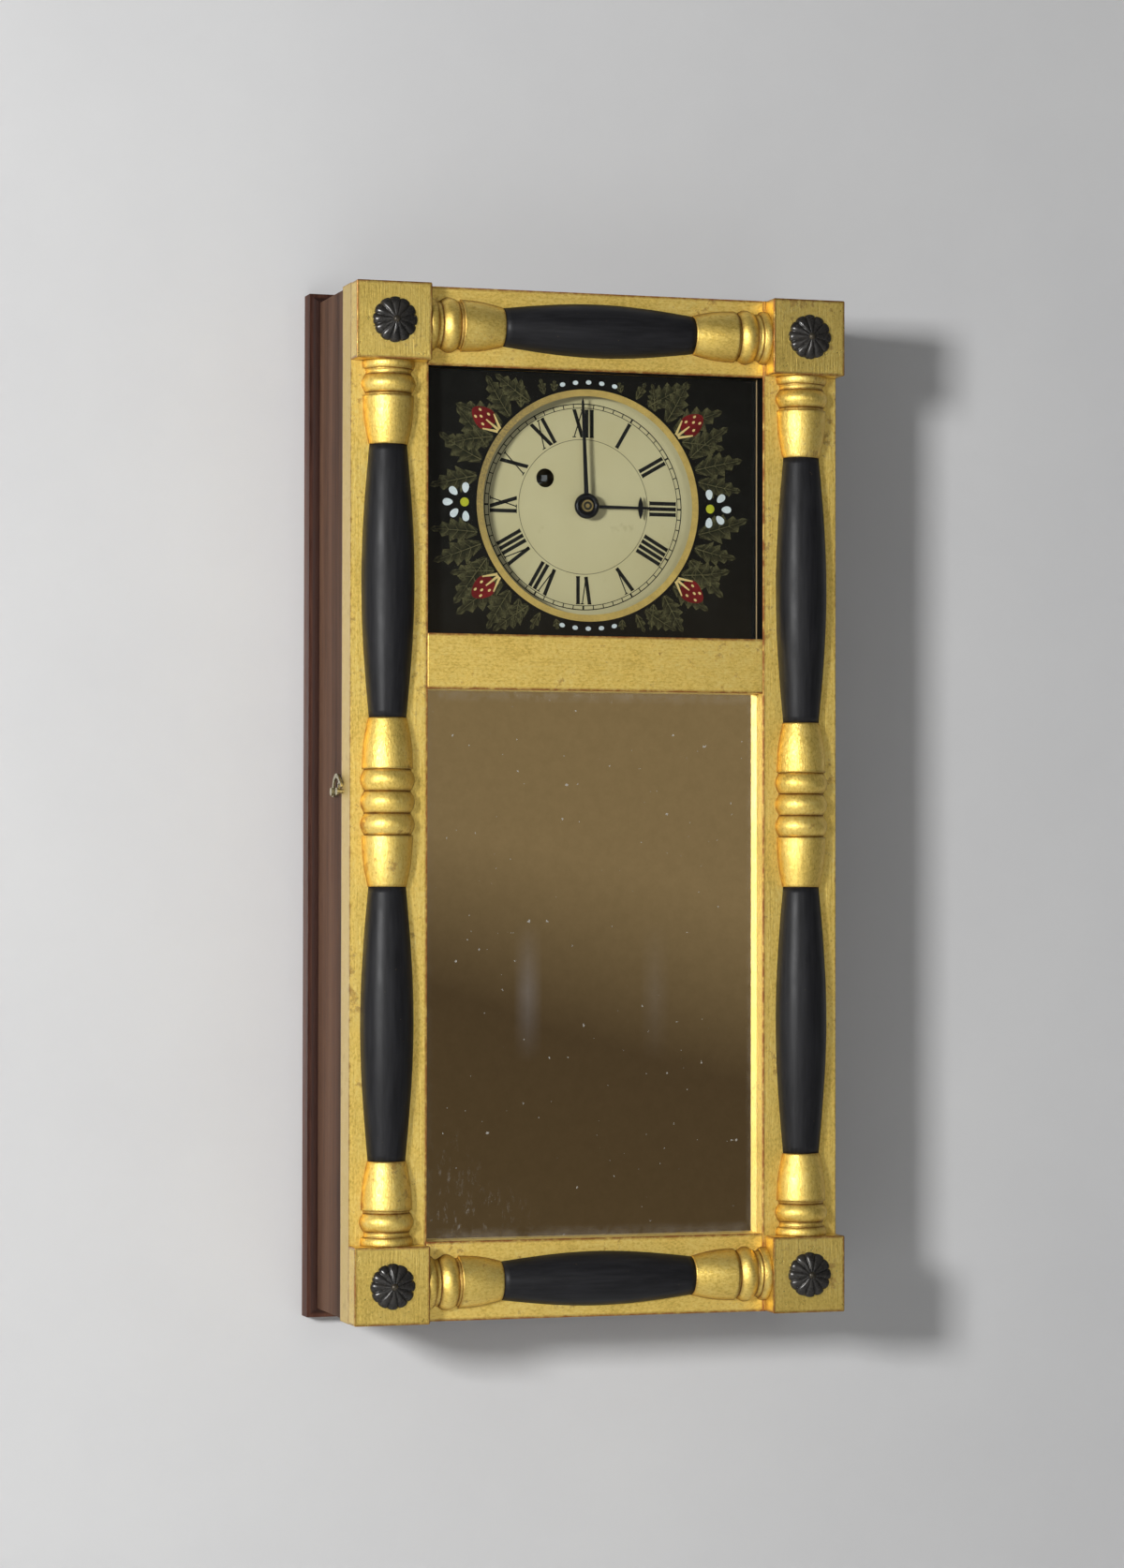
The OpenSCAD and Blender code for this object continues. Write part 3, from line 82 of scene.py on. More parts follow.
class Paint:
    """A procedural material: one principled shader and the nodes that feed it."""

    def __init__(self, name, **sockets):
        self.mat = bpy.data.materials.new(name)
        self.mat.use_nodes = True
        self.tree = self.mat.node_tree
        self.shader = self.tree.nodes["Principled BSDF"]
        self.output = self.tree.nodes["Material Output"]
        self.place = self.add("TexCoord").outputs["Object"]
        for socket, value in sockets.items():
            self.set(socket.replace("_", " "), value)

    def add(self, kind, inputs=None, **settings):
        node = self.tree.nodes.new("ShaderNode" + kind)
        for key, value in settings.items():
            setattr(node, key, value)
        for key, value in (inputs or {}).items():
            self.feed(node.inputs[key], value)
        return node

    def feed(self, socket, value):
        if isinstance(value, bpy.types.NodeSocket):
            self.tree.links.new(value, socket)
        else:
            socket.default_value = (*value, 1.0) if socket.type == "RGBA" else value

    def noise(self, scale, detail=5, rough=0.6, stretch=(1, 1, 1), seed=0.0):
        shift = (seed, seed * 0.7, seed * 1.3)
        moved = self.add("Mapping", {"Vector": self.place, "Scale": stretch, "Location": shift})
        inputs = {"Vector": moved.outputs[0], "Scale": scale, "Detail": detail, "Roughness": rough}
        return self.add("TexNoise", inputs).outputs[0]

    def compute(self, operation, first, second=0.0):
        return self.add("Math", {0: first, 1: second}, operation=operation).outputs[0]

    plus = partialmethod(compute, "ADD")
    minus = partialmethod(compute, "SUBTRACT")
    times = partialmethod(compute, "MULTIPLY")
    least = partialmethod(compute, "MINIMUM")
    most = partialmethod(compute, "MAXIMUM")
    absolute = partialmethod(compute, "ABSOLUTE")
    above = partialmethod(compute, "GREATER_THAN")
    below = partialmethod(compute, "LESS_THAN")

    def mean(self, first, weight, second):
        """Mean of two values, the first by its weight out of one."""
        return self.plus(self.times(first, weight), self.times(second, 1 - weight))

    def remap(self, value, low, high, to_low=0.0, to_high=1.0):
        inputs = {0: value, 1: low, 2: high, 3: to_low, 4: to_high}
        return self.add("MapRange", inputs, clamp=True).outputs[0]

    def ramp(self, value, *stops):
        node = self.add("ValToRGB", {0: value})
        band = node.color_ramp
        while len(band.elements) < len(stops):
            band.elements.new(0.5)
        for element, (place, colour) in zip(band.elements, stops):
            element.position = place
            element.color = (*colour, 1.0)
        return node.outputs[0]

    def mix(self, factor, first, second, blend="MIX"):
        node = self.add("Mix", {0: factor, 6: first, 7: second}, data_type="RGBA", blend_type=blend)
        return node.outputs[2]

    def axis(self, index):
        return self.add("SeparateXYZ", {0: self.place}).outputs[index]

    def mask(self, name):
        return self.add("Attribute", attribute_name=name).outputs["Fac"]

    def set(self, socket, value):
        self.feed(self.shader.inputs[socket], value)

    def bump(self, height, strength, distance):
        node = self.add("Bump", {"Height": height, "Strength": strength, "Distance": distance})
        self.set("Normal", node.outputs[0])

    def finish(self, colour, grain, rough, height, strength, distance, span=(0.3, 0.7)):
        """Colour, roughness over a span of the grain, and relief. Returns the material."""
        self.set("Base Color", colour)
        self.set("Roughness", self.remap(grain, *span, *rough))
        self.bump(height, strength, distance)
        return self.mat

    def either(self, factor, first, second):
        """A mix of two shaders."""
        return self.add("MixShader", {0: factor, 1: first.outputs[0], 2: second.outputs[0]})

    def surface(self, shader, keep=True):
        """Makes a shader the surface, and drops the principled one if it has no part in it."""
        self.tree.links.new(shader.outputs[0], self.output.inputs["Surface"])
        if not keep:
            self.tree.nodes.remove(self.shader)


# Metres: what counts as a face, gold lap before the black reveal, slack of the reveal's mask
SKIN, REVEAL_START, REVEAL_SLACK = 0.0003, 0.0009, 0.0002
UP_GRAIN = (1.0, 1.0, 0.06)
LEVEL_GRAIN = (0.06, 1.0, 1.0)


def side_distance(paint, low, high, index, fold=False):
    """Distance in metres to the nearer of a box's two sides on one axis. A fold takes the four corners of
    the door as the upper right one."""
    value = paint.axis(index)
    if fold and index != 1:
        value = paint.absolute(paint.minus(value, DOOR_Z if index == 2 else 0.0))
    inner = paint.minus(value, low[index])
    outer = paint.minus(high[index], value)
    return paint.least(inner, outer)


def edge_distance(paint, low, high, fold=False):
    """Distance from a point on a box to its nearest edge: the second smallest of three."""
    a, b, c = (side_distance(paint, low, high, index, fold) for index in range(3))
    smaller, larger = paint.least(a, b), paint.most(a, b)
    return paint.most(smaller, paint.least(larger, c))


GOLD_DEEP = (0.60, 0.39, 0.065)
GOLD = (0.92, 0.665, 0.165)
GOLD_PALE = (1.0, 0.82, 0.31)
SIDE_WASH = (0.63, 0.485, 0.22)
BOLE = (0.30, 0.105, 0.03)
SOOT = (0.09, 0.045, 0.015)
# Dirt and painted shade in the turnings' grooves and along their edges at the door
GROOVE_DIRT_AND_SHADE = (0.22, 0.09, 0.022)
REVEAL_BLACK = (0.012, 0.011, 0.009)
BARE_WOOD = ((0.17, 0.095, 0.045), (0.31, 0.19, 0.1))
LEAF_METAL = 0.86
# Widths in metres: wear and brown line along edges, clean rim at the door's sides, bare wood at its back
WEAR_W, LINE_FULL, LINE_END, CLEAN_RIM, BARE_W = 0.004, 0.0006, 0.0024, 0.004, 0.0012
# Lowest and highest roughness of the gilding
TURNED_SHINE, FRAME_SHINE, BLOCK_SHINE = (0.38, 0.54), (0.44, 0.62), (0.26, 0.38)


def gilt(name, grain, seed, shine, box=None, corner=None, grooves=False, dark=None, washed=False):
    """Gold leaf brushed onto red clay: strokes along the grain, clay where the leaf is rubbed or thin.
    A frame piece, which has a box, is bare wood on its back. corner is the box of the upper right block,
    from the middle of the door. dark says which face is black, and washed dulls the outer side."""
    paint = Paint(name, Metallic=LEAF_METAL)
    dab = tuple(max(g, 0.6) for g in grain)
    stroke = paint.noise(620, 6, 0.7, dab, seed)
    patch = paint.noise(26, seed=seed + 3)
    crease = paint.noise(150, 6, 0.7, seed=seed + 5)
    tone = paint.mean(stroke, 0.7, patch)
    colour = paint.ramp(tone, (0.31, GOLD_DEEP), (0.5, GOLD), (0.73, GOLD_PALE))
    rubbed = paint.remap(paint.times(crease, patch), 0.33, 0.39)
    colour = paint.mix(paint.times(rubbed, 0.5), colour, BOLE)
    if washed:
        outside = paint.above(paint.absolute(paint.axis(0)), DOOR_HIGH.x - SKIN)
        colour = paint.mix(paint.times(outside, 0.75), colour, SIDE_WASH)
    if box or corner:
        edge = edge_distance(paint, *(box or corner), fold=corner is not None)
        line = paint.remap(edge, LINE_FULL, LINE_END, 1.0, 0.0)
        line = paint.times(line, paint.remap(crease, 0.3, 0.55, 0.3, 0.9))
        if box:
            near = paint.remap(edge, 0.0, WEAR_W, 1.0, 0.0)
            worn = paint.remap(paint.times(near, crease), 0.34, 0.56)
            colour = paint.mix(paint.times(worn, 0.6), colour, BOLE)
            inner = paint.below(paint.absolute(paint.axis(0)), DOOR_HIGH.x - CLEAN_RIM)
            line = paint.times(line, inner)
        colour = paint.mix(line, colour, BOLE)
    if grooves:
        # Grooves, and the turnings' edges at the door, darkened: dirt and painted shade
        depth = paint.times(paint.mask("dirt_and_shade"), paint.remap(crease, 0.25, 0.6, 0.6, 1.0))
        colour = paint.mix(depth, colour, GROOVE_DIRT_AND_SHADE)
    grime = paint.remap(paint.noise(95, 6, 0.75, dab, seed + 9), 0.72, 0.8)
    colour = paint.mix(paint.times(grime, 0.55), colour, SOOT)
    if dark:
        colour = paint.mix(black_reveal(paint, *dark), colour, REVEAL_BLACK)
    if box:
        back = paint.above(paint.axis(1), DOOR_BACK - BARE_W)
        fibre = paint.noise(420, 5, 0.65, grain, seed + 13)
        bare = paint.ramp(fibre, (0.35, BARE_WOOD[0]), (0.65, BARE_WOOD[1]))
        colour = paint.mix(back, colour, bare)
        paint.set("Metallic", paint.remap(back, 0.0, 1.0, LEAF_METAL, 0.0))
    brush = paint.noise(760, 4, 0.6, grain, seed + 17)
    relief = paint.plus(brush, paint.times(crease, 0.8))
    return paint.finish(colour, crease, shine, relief, 0.5, 0.0006 if grooves else 0.0005)


def black_reveal(paint, index, limit, above):
    """Mask of the narrow black face round the dial glass: past a limit on one axis, behind the front edge."""
    value = paint.axis(index)
    if index == 0:
        value = paint.absolute(value)
    face = (paint.above if above else paint.below)(value, limit)
    dark = paint.times(face, paint.above(paint.axis(1), DOOR_FRONT + REVEAL_START))
    if index == 0:
        dark = paint.times(dark, paint.above(paint.axis(2), (TABLET_BOTTOM + MIRROR_TOP) / 2))
    return dark


def ebony(name, grain):
    """Black stain rubbed to a low shine, with brown wear in a few specks."""
    paint = Paint(name, Specular_IOR_Level=0.22)
    streak = paint.noise(420, 5, 0.6, grain, 2)
    cloud = paint.noise(35, 4, 0.6, seed=4)
    colour = paint.ramp(streak, (0.3, (0.007, 0.007, 0.008)), (0.7, (0.017, 0.017, 0.019)))
    specks = paint.remap(paint.noise(330, 3, 0.5, seed=8), 0.73, 0.77)
    colour = paint.mix(paint.times(specks, 0.5), colour, (0.12, 0.08, 0.04))
    return paint.finish(colour, cloud, (0.38, 0.52), streak, 0.12, 0.0003)


def wood(name, grain, dark, middle, light, rough, pores, seed, darken_before=None):
    """Straight grained wood: broad figure, fine fibres, dark pores along the grain, darker in front of a
    given depth.
    """
    paint = Paint(name, Specular_IOR_Level=0.1)
    figure = paint.noise(46, 5, 0.6, tuple(g if g == 1 else g * 0.5 for g in grain), seed)
    fibre = paint.noise(620, 5, 0.65, grain, seed + 2)
    tone = paint.mean(figure, 0.6, fibre)
    colour = paint.ramp(tone, (0.34, dark), (0.5, middle), (0.66, light))
    along = tuple(g * 0.6 if g < 1 else g for g in grain)
    pore = paint.remap(paint.noise(1300, 3, 0.6, along, seed + 6), 0.62, 0.7)
    colour = paint.mix(paint.times(pore, pores), colour, dark)
    # Darker in front of the given depth: on the moulding, its front step
    if darken_before is not None:
        front = paint.remap(paint.axis(1), darken_before - 2 * SKIN, darken_before, 0.75, 0.0)
        colour = paint.mix(front, colour, (0.022, 0.011, 0.009))
    relief = paint.minus(fibre, paint.times(pore, 0.5))
    return paint.finish(colour, fibre, rough, relief, 0.2, 0.0003)


def metal(name, dark, light, rough, metallic=1.0, grain=(1, 1, 1), scale=260, spots=None):
    """Brushed or cast metal with cloudy tarnish and fine tooling marks."""
    paint = Paint(name, Metallic=metallic)
    cloud = paint.noise(70, 5, 0.62, seed=scale * 0.01)
    mark = paint.noise(scale, 4, 0.6, grain, 3)
    tone = paint.mean(cloud, 0.65, mark)
    colour = paint.ramp(tone, (0.35, dark), (0.65, light))
    if spots:
        spot = paint.remap(paint.noise(420, 4, 0.6, seed=7), 0.6, 0.68)
        colour = paint.mix(paint.times(spot, 0.7), colour, spots)
    return paint.finish(colour, tone, rough, mark, 0.18, 0.0003, (0.35, 0.65))


def flat_paint(name, colour, variation, rough=0.5, shade=None, metallic=0.0):
    """Brushed paint: tone that drifts along the strokes, with an optional second colour by vertex: the
    painting's own tones, and painted shade on the gilt ring.
    """
    paint = Paint(name, Metallic=metallic, Specular_IOR_Level=0.15)
    cloud = paint.noise(120, 5, 0.65, seed=colour[0] * 9)
    stroke = paint.noise(900, 4, 0.6, seed=colour[1] * 7)
    tone = paint.mean(cloud, 0.6, stroke)
    dark = tuple(c * (1 - variation) for c in colour)
    light = tuple(min(1, c * (1 + variation)) for c in colour)
    base = paint.ramp(tone, (0.36, dark), (0.64, light))
    if shade:
        amount = paint.times(paint.mask("shade"), paint.remap(stroke, 0.35, 0.6, 0.25, 1.0))
        base = paint.mix(amount, base, shade)
    return paint.finish(base, cloud, (rough - 0.08, rough + 0.08), stroke, 0.1, 0.0002)


def dial_paint():
    """Cream paint on a plate, a little yellowed, with rubbed places and pale scratches."""
    paint = Paint("dial_cream")
    cloud = paint.noise(14, seed=1)
    grain = paint.noise(700, 4, 0.6, seed=5)
    colour = paint.ramp(cloud, (0.3, (0.565, 0.487, 0.268)), (0.7, (0.62, 0.545, 0.32)))
    stain = paint.remap(paint.noise(75, 6, 0.7, seed=12), 0.63, 0.72)
    colour = paint.mix(paint.times(stain, 0.35), colour, (0.36, 0.29, 0.14))
    return paint.finish(colour, grain, (0.42, 0.55), grain, 0.08, 0.0002)


def clear_glass():
    """Old window glass: seen through, with a faint wavy shine on its outer faces."""
    paint = Paint("tablet_pane")
    wave = paint.noise(22, 3, 0.5, seed=3)
    bump = paint.add("Bump", {"Height": wave, "Strength": 0.05, "Distance": 0.0005})
    film = paint.remap(paint.noise(55, 5, 0.7, seed=6), 0.3, 0.75, 0.0, 0.0015)
    shine = paint.add("BsdfGlossy", {"Roughness": 0.0, "Normal": bump.outputs[0]})
    through = paint.add("BsdfTransparent", {"Color": (0.96, 0.975, 0.965)})
    dust = paint.add("BsdfDiffuse", {"Color": (0.7, 0.68, 0.62)})
    outer = paint.minus(1.0, paint.add("NewGeometry").outputs["Backfacing"])
    amount = paint.times(paint.add("Fresnel", {"IOR": 1.5}).outputs[0], outer)
    paint.surface(paint.either(film, paint.either(amount, through, shine), dust), keep=False)
    return paint.mat


def old_mirror():
    """Old silvering: sharp in the middle, hazy at the edges and the lower left corner, with specks."""
    paint = Paint("old_mirror", Metallic=1.0, Roughness=0.0)
    low = Vector((SIGHT_LEFT, 0, MIRROR_BOTTOM))
    high = Vector((SIGHT_RIGHT, 0, MIRROR_TOP))
    cloud = paint.noise(120, 6, 0.72, seed=2)
    nearest = paint.least(side_distance(paint, low, high, 0), side_distance(paint, low, high, 2))
    border = paint.remap(nearest, 0.0, 0.009, 0.22, 0.0)
    from_left = paint.minus(paint.axis(0), SIGHT_LEFT)
    from_foot = paint.minus(paint.axis(2), MIRROR_BOTTOM)
    scratch = paint.remap(paint.noise(300, 5, 0.7, (1.0, 1.0, 0.35), 11), 0.56, 0.66)
    corner = paint.remap(paint.plus(from_left, from_foot), 0.0, 0.11, 0.55, 0.0)
    corner = paint.times(corner, scratch)
    haze = paint.times(paint.most(border, corner), paint.remap(cloud, 0.36, 0.62))
    speck = paint.remap(paint.noise(240, 2, 0.4, seed=15), 0.755, 0.785)
    haze = paint.least(paint.plus(haze, paint.times(speck, 0.7)), 1.0)
    tint = paint.ramp(cloud, (0.35, (0.86, 0.85, 0.82)), (0.65, (0.93, 0.92, 0.9)))
    paint.set("Base Color", tint)
    veil = paint.add("BsdfDiffuse", {"Color": (0.42, 0.41, 0.38)})
    paint.surface(paint.either(haze, paint.shader, veil))
    return paint.mat


def braid():
    """Twisted linen cord."""
    paint = Paint("linen_cord")
    turned = paint.add("Mapping", {"Vector": paint.place, "Rotation": (0.7, 0.6, 0.0)}).outputs[0]
    wave = paint.add("TexWave", {"Vector": turned, "Scale": 300.0, "Distortion": 1.5, "Detail": 2.0})
    lay = wave.outputs[1]
    fuzz = paint.noise(2600, 3, 0.6)
    colour = paint.ramp(lay, (0.2, (0.42, 0.35, 0.22)), (0.8, (0.66, 0.58, 0.42)))
    colour = paint.mix(paint.remap(fuzz, 0.5, 0.75, 0.0, 0.4), colour, (0.3, 0.24, 0.15))
    return paint.finish(colour, fuzz, (0.75, 0.95), lay, 0.6, 0.0004)


# Woods: dark, middle and light tone, lowest and highest roughness, strength of the pores
MAHOGANY = ((0.045, 0.02, 0.012), (0.118, 0.06, 0.036), (0.18, 0.098, 0.061), (0.5, 0.68), 0.6)
RED_MAHOGANY = ((0.026, 0.009, 0.006), (0.084, 0.033, 0.021), (0.142, 0.062, 0.039), (0.5, 0.68), 0.6)
PINE = ((0.33, 0.2, 0.095), (0.5, 0.34, 0.18), (0.62, 0.46, 0.27), (0.6, 0.8), 0.25)
MOULDING_STEP = 0.0045

mahogany_up = wood("mahogany_up", UP_GRAIN, *MAHOGANY, 1)
mahogany_level = wood("mahogany_level", LEVEL_GRAIN, *MAHOGANY, 4)
# The moulding is darker in front of its step
moulding_wood = wood("moulding_mahogany", UP_GRAIN, *RED_MAHOGANY, 7, MOULDING_FRONT + MOULDING_STEP)
pine_up = wood("pine_up", UP_GRAIN, *PINE, 2)
# Metals: dark and light tone, lowest and highest roughness, how metallic
brass = metal(
    "clock_brass", (0.50, 0.34, 0.11), (0.78, 0.58, 0.25), (0.24, 0.42), grain=(1, 1, 0.2), scale=520,
)
tarnished_brass = metal(
    "tarnished_brass", (0.16, 0.12, 0.055), (0.42, 0.34, 0.18), (0.32, 0.55), spots=(0.07, 0.07, 0.045),
)
latch_brass = metal(
    "latch_brass", (0.24, 0.21, 0.11), (0.52, 0.47, 0.29), (0.3, 0.5), spots=(0.06, 0.06, 0.04),
)
cast_rosette = metal(
    "dark_cast_brass", (0.013, 0.0125, 0.012), (0.04, 0.036, 0.032), (0.2, 0.34), 0.3,
    scale=420, spots=(0.06, 0.048, 0.03),
)
rosette_nail = metal("dark_nail", (0.02, 0.018, 0.015), (0.1, 0.082, 0.055), (0.25, 0.4), 0.5, scale=500)
dark_brass = metal("smoked_brass", (0.03, 0.024, 0.012), (0.1, 0.075, 0.035), (0.4, 0.6), 0.8, scale=500)
dark_steel = metal("dark_steel", (0.03, 0.028, 0.026), (0.09, 0.08, 0.065), (0.35, 0.5), 0.7, scale=500)
steel = metal(
    "clock_steel", (0.26, 0.27, 0.29), (0.5, 0.52, 0.55), (0.24, 0.4), grain=(1, 1, 0.15), scale=600,
)
blued = metal("blued_steel", (0.006, 0.006, 0.008), (0.017, 0.017, 0.022), (0.3, 0.42), 0.5, scale=500)
iron = metal(
    "cast_iron", (0.035, 0.034, 0.034), (0.11, 0.105, 0.1), (0.5, 0.72),
    scale=330, spots=(0.12, 0.055, 0.025),
)
cream = dial_paint()
pane = clear_glass()
mirror = old_mirror()
linen = braid()
ebony_up = ebony("ebony_up", UP_GRAIN)
ebony_level = ebony("ebony_level", LEVEL_GRAIN)
gilt_turned_up = gilt("gilt_turned_up", (1.0, 1.0, 0.5), 21, TURNED_SHINE, grooves=True)
gilt_turned_level = gilt("gilt_turned_level", (0.5, 1.0, 1.0), 24, TURNED_SHINE, grooves=True)

# Softened edges and the side of a corner block in metres, and the angle from which an edge is sharp
CASE_EDGE, PINE_EDGE, FRAME_EDGE, BLOCK_EDGE, BLOCK = 0.0006, 0.0004, 0.0007, 0.0008, 0.056
SHARP_DEGREES = 50


def dress(node, mat, bevel=0.0):
    """Gives a CAD node its material, and softens its sharp edges where the piece is wood."""
    obj = NODES[node]
    for slot in obj.material_slots:
        slot.material = mat
    if not obj.material_slots:
        obj.data.materials.append(mat)
    if bevel:
        weld = obj.modifiers.new("weld", "WELD")
        weld.merge_threshold = 0.01 * MM
        soft = obj.modifiers.new("soft_edges", "BEVEL")
        soft.width = bevel
        soft.segments = 2
        soft.limit_method = "ANGLE"
        soft.angle_limit = radians(SHARP_DEGREES)
        level = obj.modifiers.new("level_shading", "WEIGHTED_NORMAL")
        level.keep_sharp = False


def dress_gilt(node, grain, seed, dark=None, washed=False):
    mat = gilt("gilt_" + node, grain, seed, FRAME_SHINE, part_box(node), dark=dark, washed=washed)
    dress(node, mat, FRAME_EDGE)


# Pieces without gold: material, nodes and softened edge
PLAIN = (
    (mahogany_up, "case_left_side case_right_side", CASE_EDGE),
    (mahogany_level, "case_top case_bottom", CASE_EDGE),
    (moulding_wood, "back_moulding"),
    (pine_up, "back_board"),
    (pine_up, "dial_cleats mirror_backing glazing_strips", PINE_EDGE),
    (cream, "dial_plate"),
    (pane, "tablet_glass"),
    (mirror, "mirror_glass"),
    (iron, "weight"),
    (blued, "minute_hand hour_hand"),
    (steel, "click pallets crutch suspension_spring pendulum_rod hinge_pins plate_nuts winding_arbor"),
    (dark_steel, "cannon_pinion"),
    (dark_brass, "front_plate"),
    (tarnished_brass, "hinge_case_leaves hinge_door_leaves dial_screws cord_hook"),
    (latch_brass, "latch_hook latch_pin latch_pivot"),
    (brass, "movement_posts back_plate plate_pillars suspension_block pulley_bracket hand_collet"),
    (brass, "great_wheel winding_drum centre_wheel hour_wheel minute_wheel third_wheel escape_wheel"),
    (brass, "pendulum_bob rating_nut weight_stirrup weight_pulley top_pulley"),
)
for mat, names, *edge in PLAIN:
    for name in names.split():
        dress(name, mat, *edge)
side_reveal = (0, -SIGHT_LEFT + REVEAL_SLACK, False)
dress_gilt("door_left_stile", UP_GRAIN, 31, side_reveal, True)
dress_gilt("door_right_stile", UP_GRAIN, 35, side_reveal, True)
dress_gilt("door_top_rail", LEVEL_GRAIN, 39, (2, TABLET_TOP + REVEAL_SLACK, False))
dress_gilt("door_cross_rail", LEVEL_GRAIN, 43, (2, TABLET_BOTTOM - REVEAL_SLACK, True))
dress_gilt("door_bottom_rail", LEVEL_GRAIN, 47)
UPPER_RIGHT = (
    Vector((DOOR_HIGH.x - BLOCK, BLOCK_FRONT, DOOR_HIGH.z - DOOR_Z - BLOCK)),
    Vector((DOOR_HIGH.x, DOOR_FRONT, DOOR_HIGH.z - DOOR_Z)),
)
block_gilt = gilt("gilt_corner_blocks", UP_GRAIN, 51, BLOCK_SHINE, corner=UPPER_RIGHT)
dress("corner_blocks", block_gilt, BLOCK_EDGE)


def put(name, data):
    """A new object in the scene."""
    obj = bpy.data.objects.new(name, data)
    SCENE.collection.objects.link(obj)
    return obj


def new_mesh(name, points, faces, mats):
    mesh = bpy.data.meshes.new(name)
    mesh.from_pydata([tuple(p) for p in points], [], faces)
    for mat in mats:
        mesh.materials.append(mat)
    return mesh


def solid(name, points, faces, mats, body, face_mats=None, smooth=True, masks=None):
    """A new piece from points in metres, riding on a body."""
    mesh = new_mesh(name, points, faces, mats)
    if face_mats:
        mesh.polygons.foreach_set("material_index", face_mats)
    if smooth:
        mesh.polygons.foreach_set("use_smooth", [True] * len(faces))
    for mask, values in (masks or {}).items():
        mesh.attributes.new(mask, "FLOAT", "POINT").data.foreach_set("value", values)
    mesh.update()
    obj = put(name, mesh)
    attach(obj, body)
    return obj


# Parts of a turning, in millimetres: length, first radius, last radius, bulge, kind
BEAD_R, BEAD_ROOT, CUP_R, CUP_FOOT, NECK_R, SHAFT_R = 20.5, 17.5, 19.25, 14.75, 14.25, 20.0
BEAD_SWELL, CUP_SWELL = BEAD_R - BEAD_ROOT, 1.2
AXIS_SUNK = 2.5
FOOT = [
    (6.0, 19.7, 18.9, 0.6, "gilt"),
    (4.0, 18.3, BEAD_ROOT, -0.8, "gilt"),
    (13.5, BEAD_ROOT, BEAD_ROOT, BEAD_SWELL, "gilt"),
    (2.0, BEAD_ROOT, BEAD_ROOT + 0.4, 0.0, "gilt"),
]
FOOT_L = sum(part[0] for part in FOOT)


def end_parts(length):
    return FOOT + [(length - FOOT_L, CUP_R, CUP_FOOT, CUP_SWELL, "gilt")]


def shaft(length):
    return [(length, NECK_R, NECK_R, SHAFT_R - NECK_R, "ebony")]


def turned_back(parts):
    return [(l, r1, r0, bulge, kind) for l, r0, r1, bulge, kind in reversed(parts)]


UPRIGHT_END, UPRIGHT_SHAFT, LEVEL_END, LEVEL_SHAFT = 60.5, 197.5, 57.7, 146.6
MIDDLE_CUP = [(37.0, CUP_R, CUP_FOOT, CUP_SWELL, "gilt")]
MIDDLE_BEADS = [(16.0, BEAD_ROOT, BEAD_ROOT, BEAD_SWELL, "gilt")] * 3
UPRIGHT_HALF = end_parts(UPRIGHT_END) + shaft(UPRIGHT_SHAFT) + turned_back(MIDDLE_CUP)
UPRIGHT = UPRIGHT_HALF + MIDDLE_BEADS + turned_back(UPRIGHT_HALF)
LEVEL = end_parts(LEVEL_END) + shaft(LEVEL_SHAFT) + turned_back(end_parts(LEVEL_END))
ROUND_STEPS = 40
ROW_STEP = {"gilt": 1.0, "ebony": 5.0}
# Dirt and painted shade in the grooves and along the door: width, fade, steps from the door, and the share on
# parts that are flat and long
GROOVE_W, GROOVE_FADE, RIM_STEPS, FLAT_SHARE, DEEP_SWELL, SHORT_PART = 2.6, 1.6, 6, 0.6, 2.0, 5.0


def split_turning(parts, place, points, faces, kinds, dirt_and_shade):
    """Adds a half turning, closed on the door's face, to lists of points, faces, their kinds and a mask of
    dirt and painted shade.
    place maps (across, forward, along) in millimetres to a point in metres."""
    start = 0.0
    for length, r0, r1, bulge, kind in parts:
        steps = max(4, round(length / ROW_STEP[kind]))
        share = 1.0 if bulge > DEEP_SWELL or length < SHORT_PART else FLAT_SHARE
        rows = []
        for i in range(steps + 1):
            t = i / steps
            radius = r0 + (r1 - r0) * t + bulge * sin(pi * t)
            along = start + length * t
            half = acos(min(1.0, AXIS_SUNK / radius))
            near_end = min(t, 1 - t) * length
            depth = max(0.0, 1 - near_end / GROOVE_W) ** GROOVE_FADE * share
            row = []
            for k in range(ROUND_STEPS + 1):
                a = -half + 2 * half * k / ROUND_STEPS
                row.append(len(points))
                points.append(place(radius * sin(a), radius * cos(a) - AXIS_SUNK, along))
                # Painted shade along the edges where the turning meets the door
                rim = max(0.0, 1 - min(k, ROUND_STEPS - k) / RIM_STEPS)
                dirt_and_shade.append(max(depth, rim) if kind == "gilt" else 0.0)
            rows.append(row)
        for low, high in zip(rows, rows[1:]):
            for k in range(ROUND_STEPS):
                faces.append((low[k], low[k + 1], high[k + 1], high[k]))
                kinds.append(kind)
        faces += [tuple(reversed(rows[0])), tuple(rows[-1])]
        kinds += [kind, kind]
        flat = len(points)
        for row in rows:
            points += [points[row[0]], points[row[-1]]]
            dirt_and_shade += [0.0, 0.0]
        for i in range(flat, len(points) - 2, 2):
            faces.append((i, i + 2, i + 3, i + 1))
            kinds.append(kind)
        start += length


def columns(name, node, parts, centres, upright, mats):
    points, faces, kinds, dirt_and_shade = [], [], [], []
    for centre in centres:
        def place(across, forward, along):
            x, z = (across, along) if upright else (along, -across)
            return centre + Vector((x, -forward, z)) * MM
        split_turning(parts, place, points, faces, kinds, dirt_and_shade)
    face_mats = [0 if kind == "gilt" else 1 for kind in kinds]
    obj = solid(name, points, faces, mats, "door", face_mats, True, {"dirt_and_shade": dirt_and_shade})
    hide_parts(node)


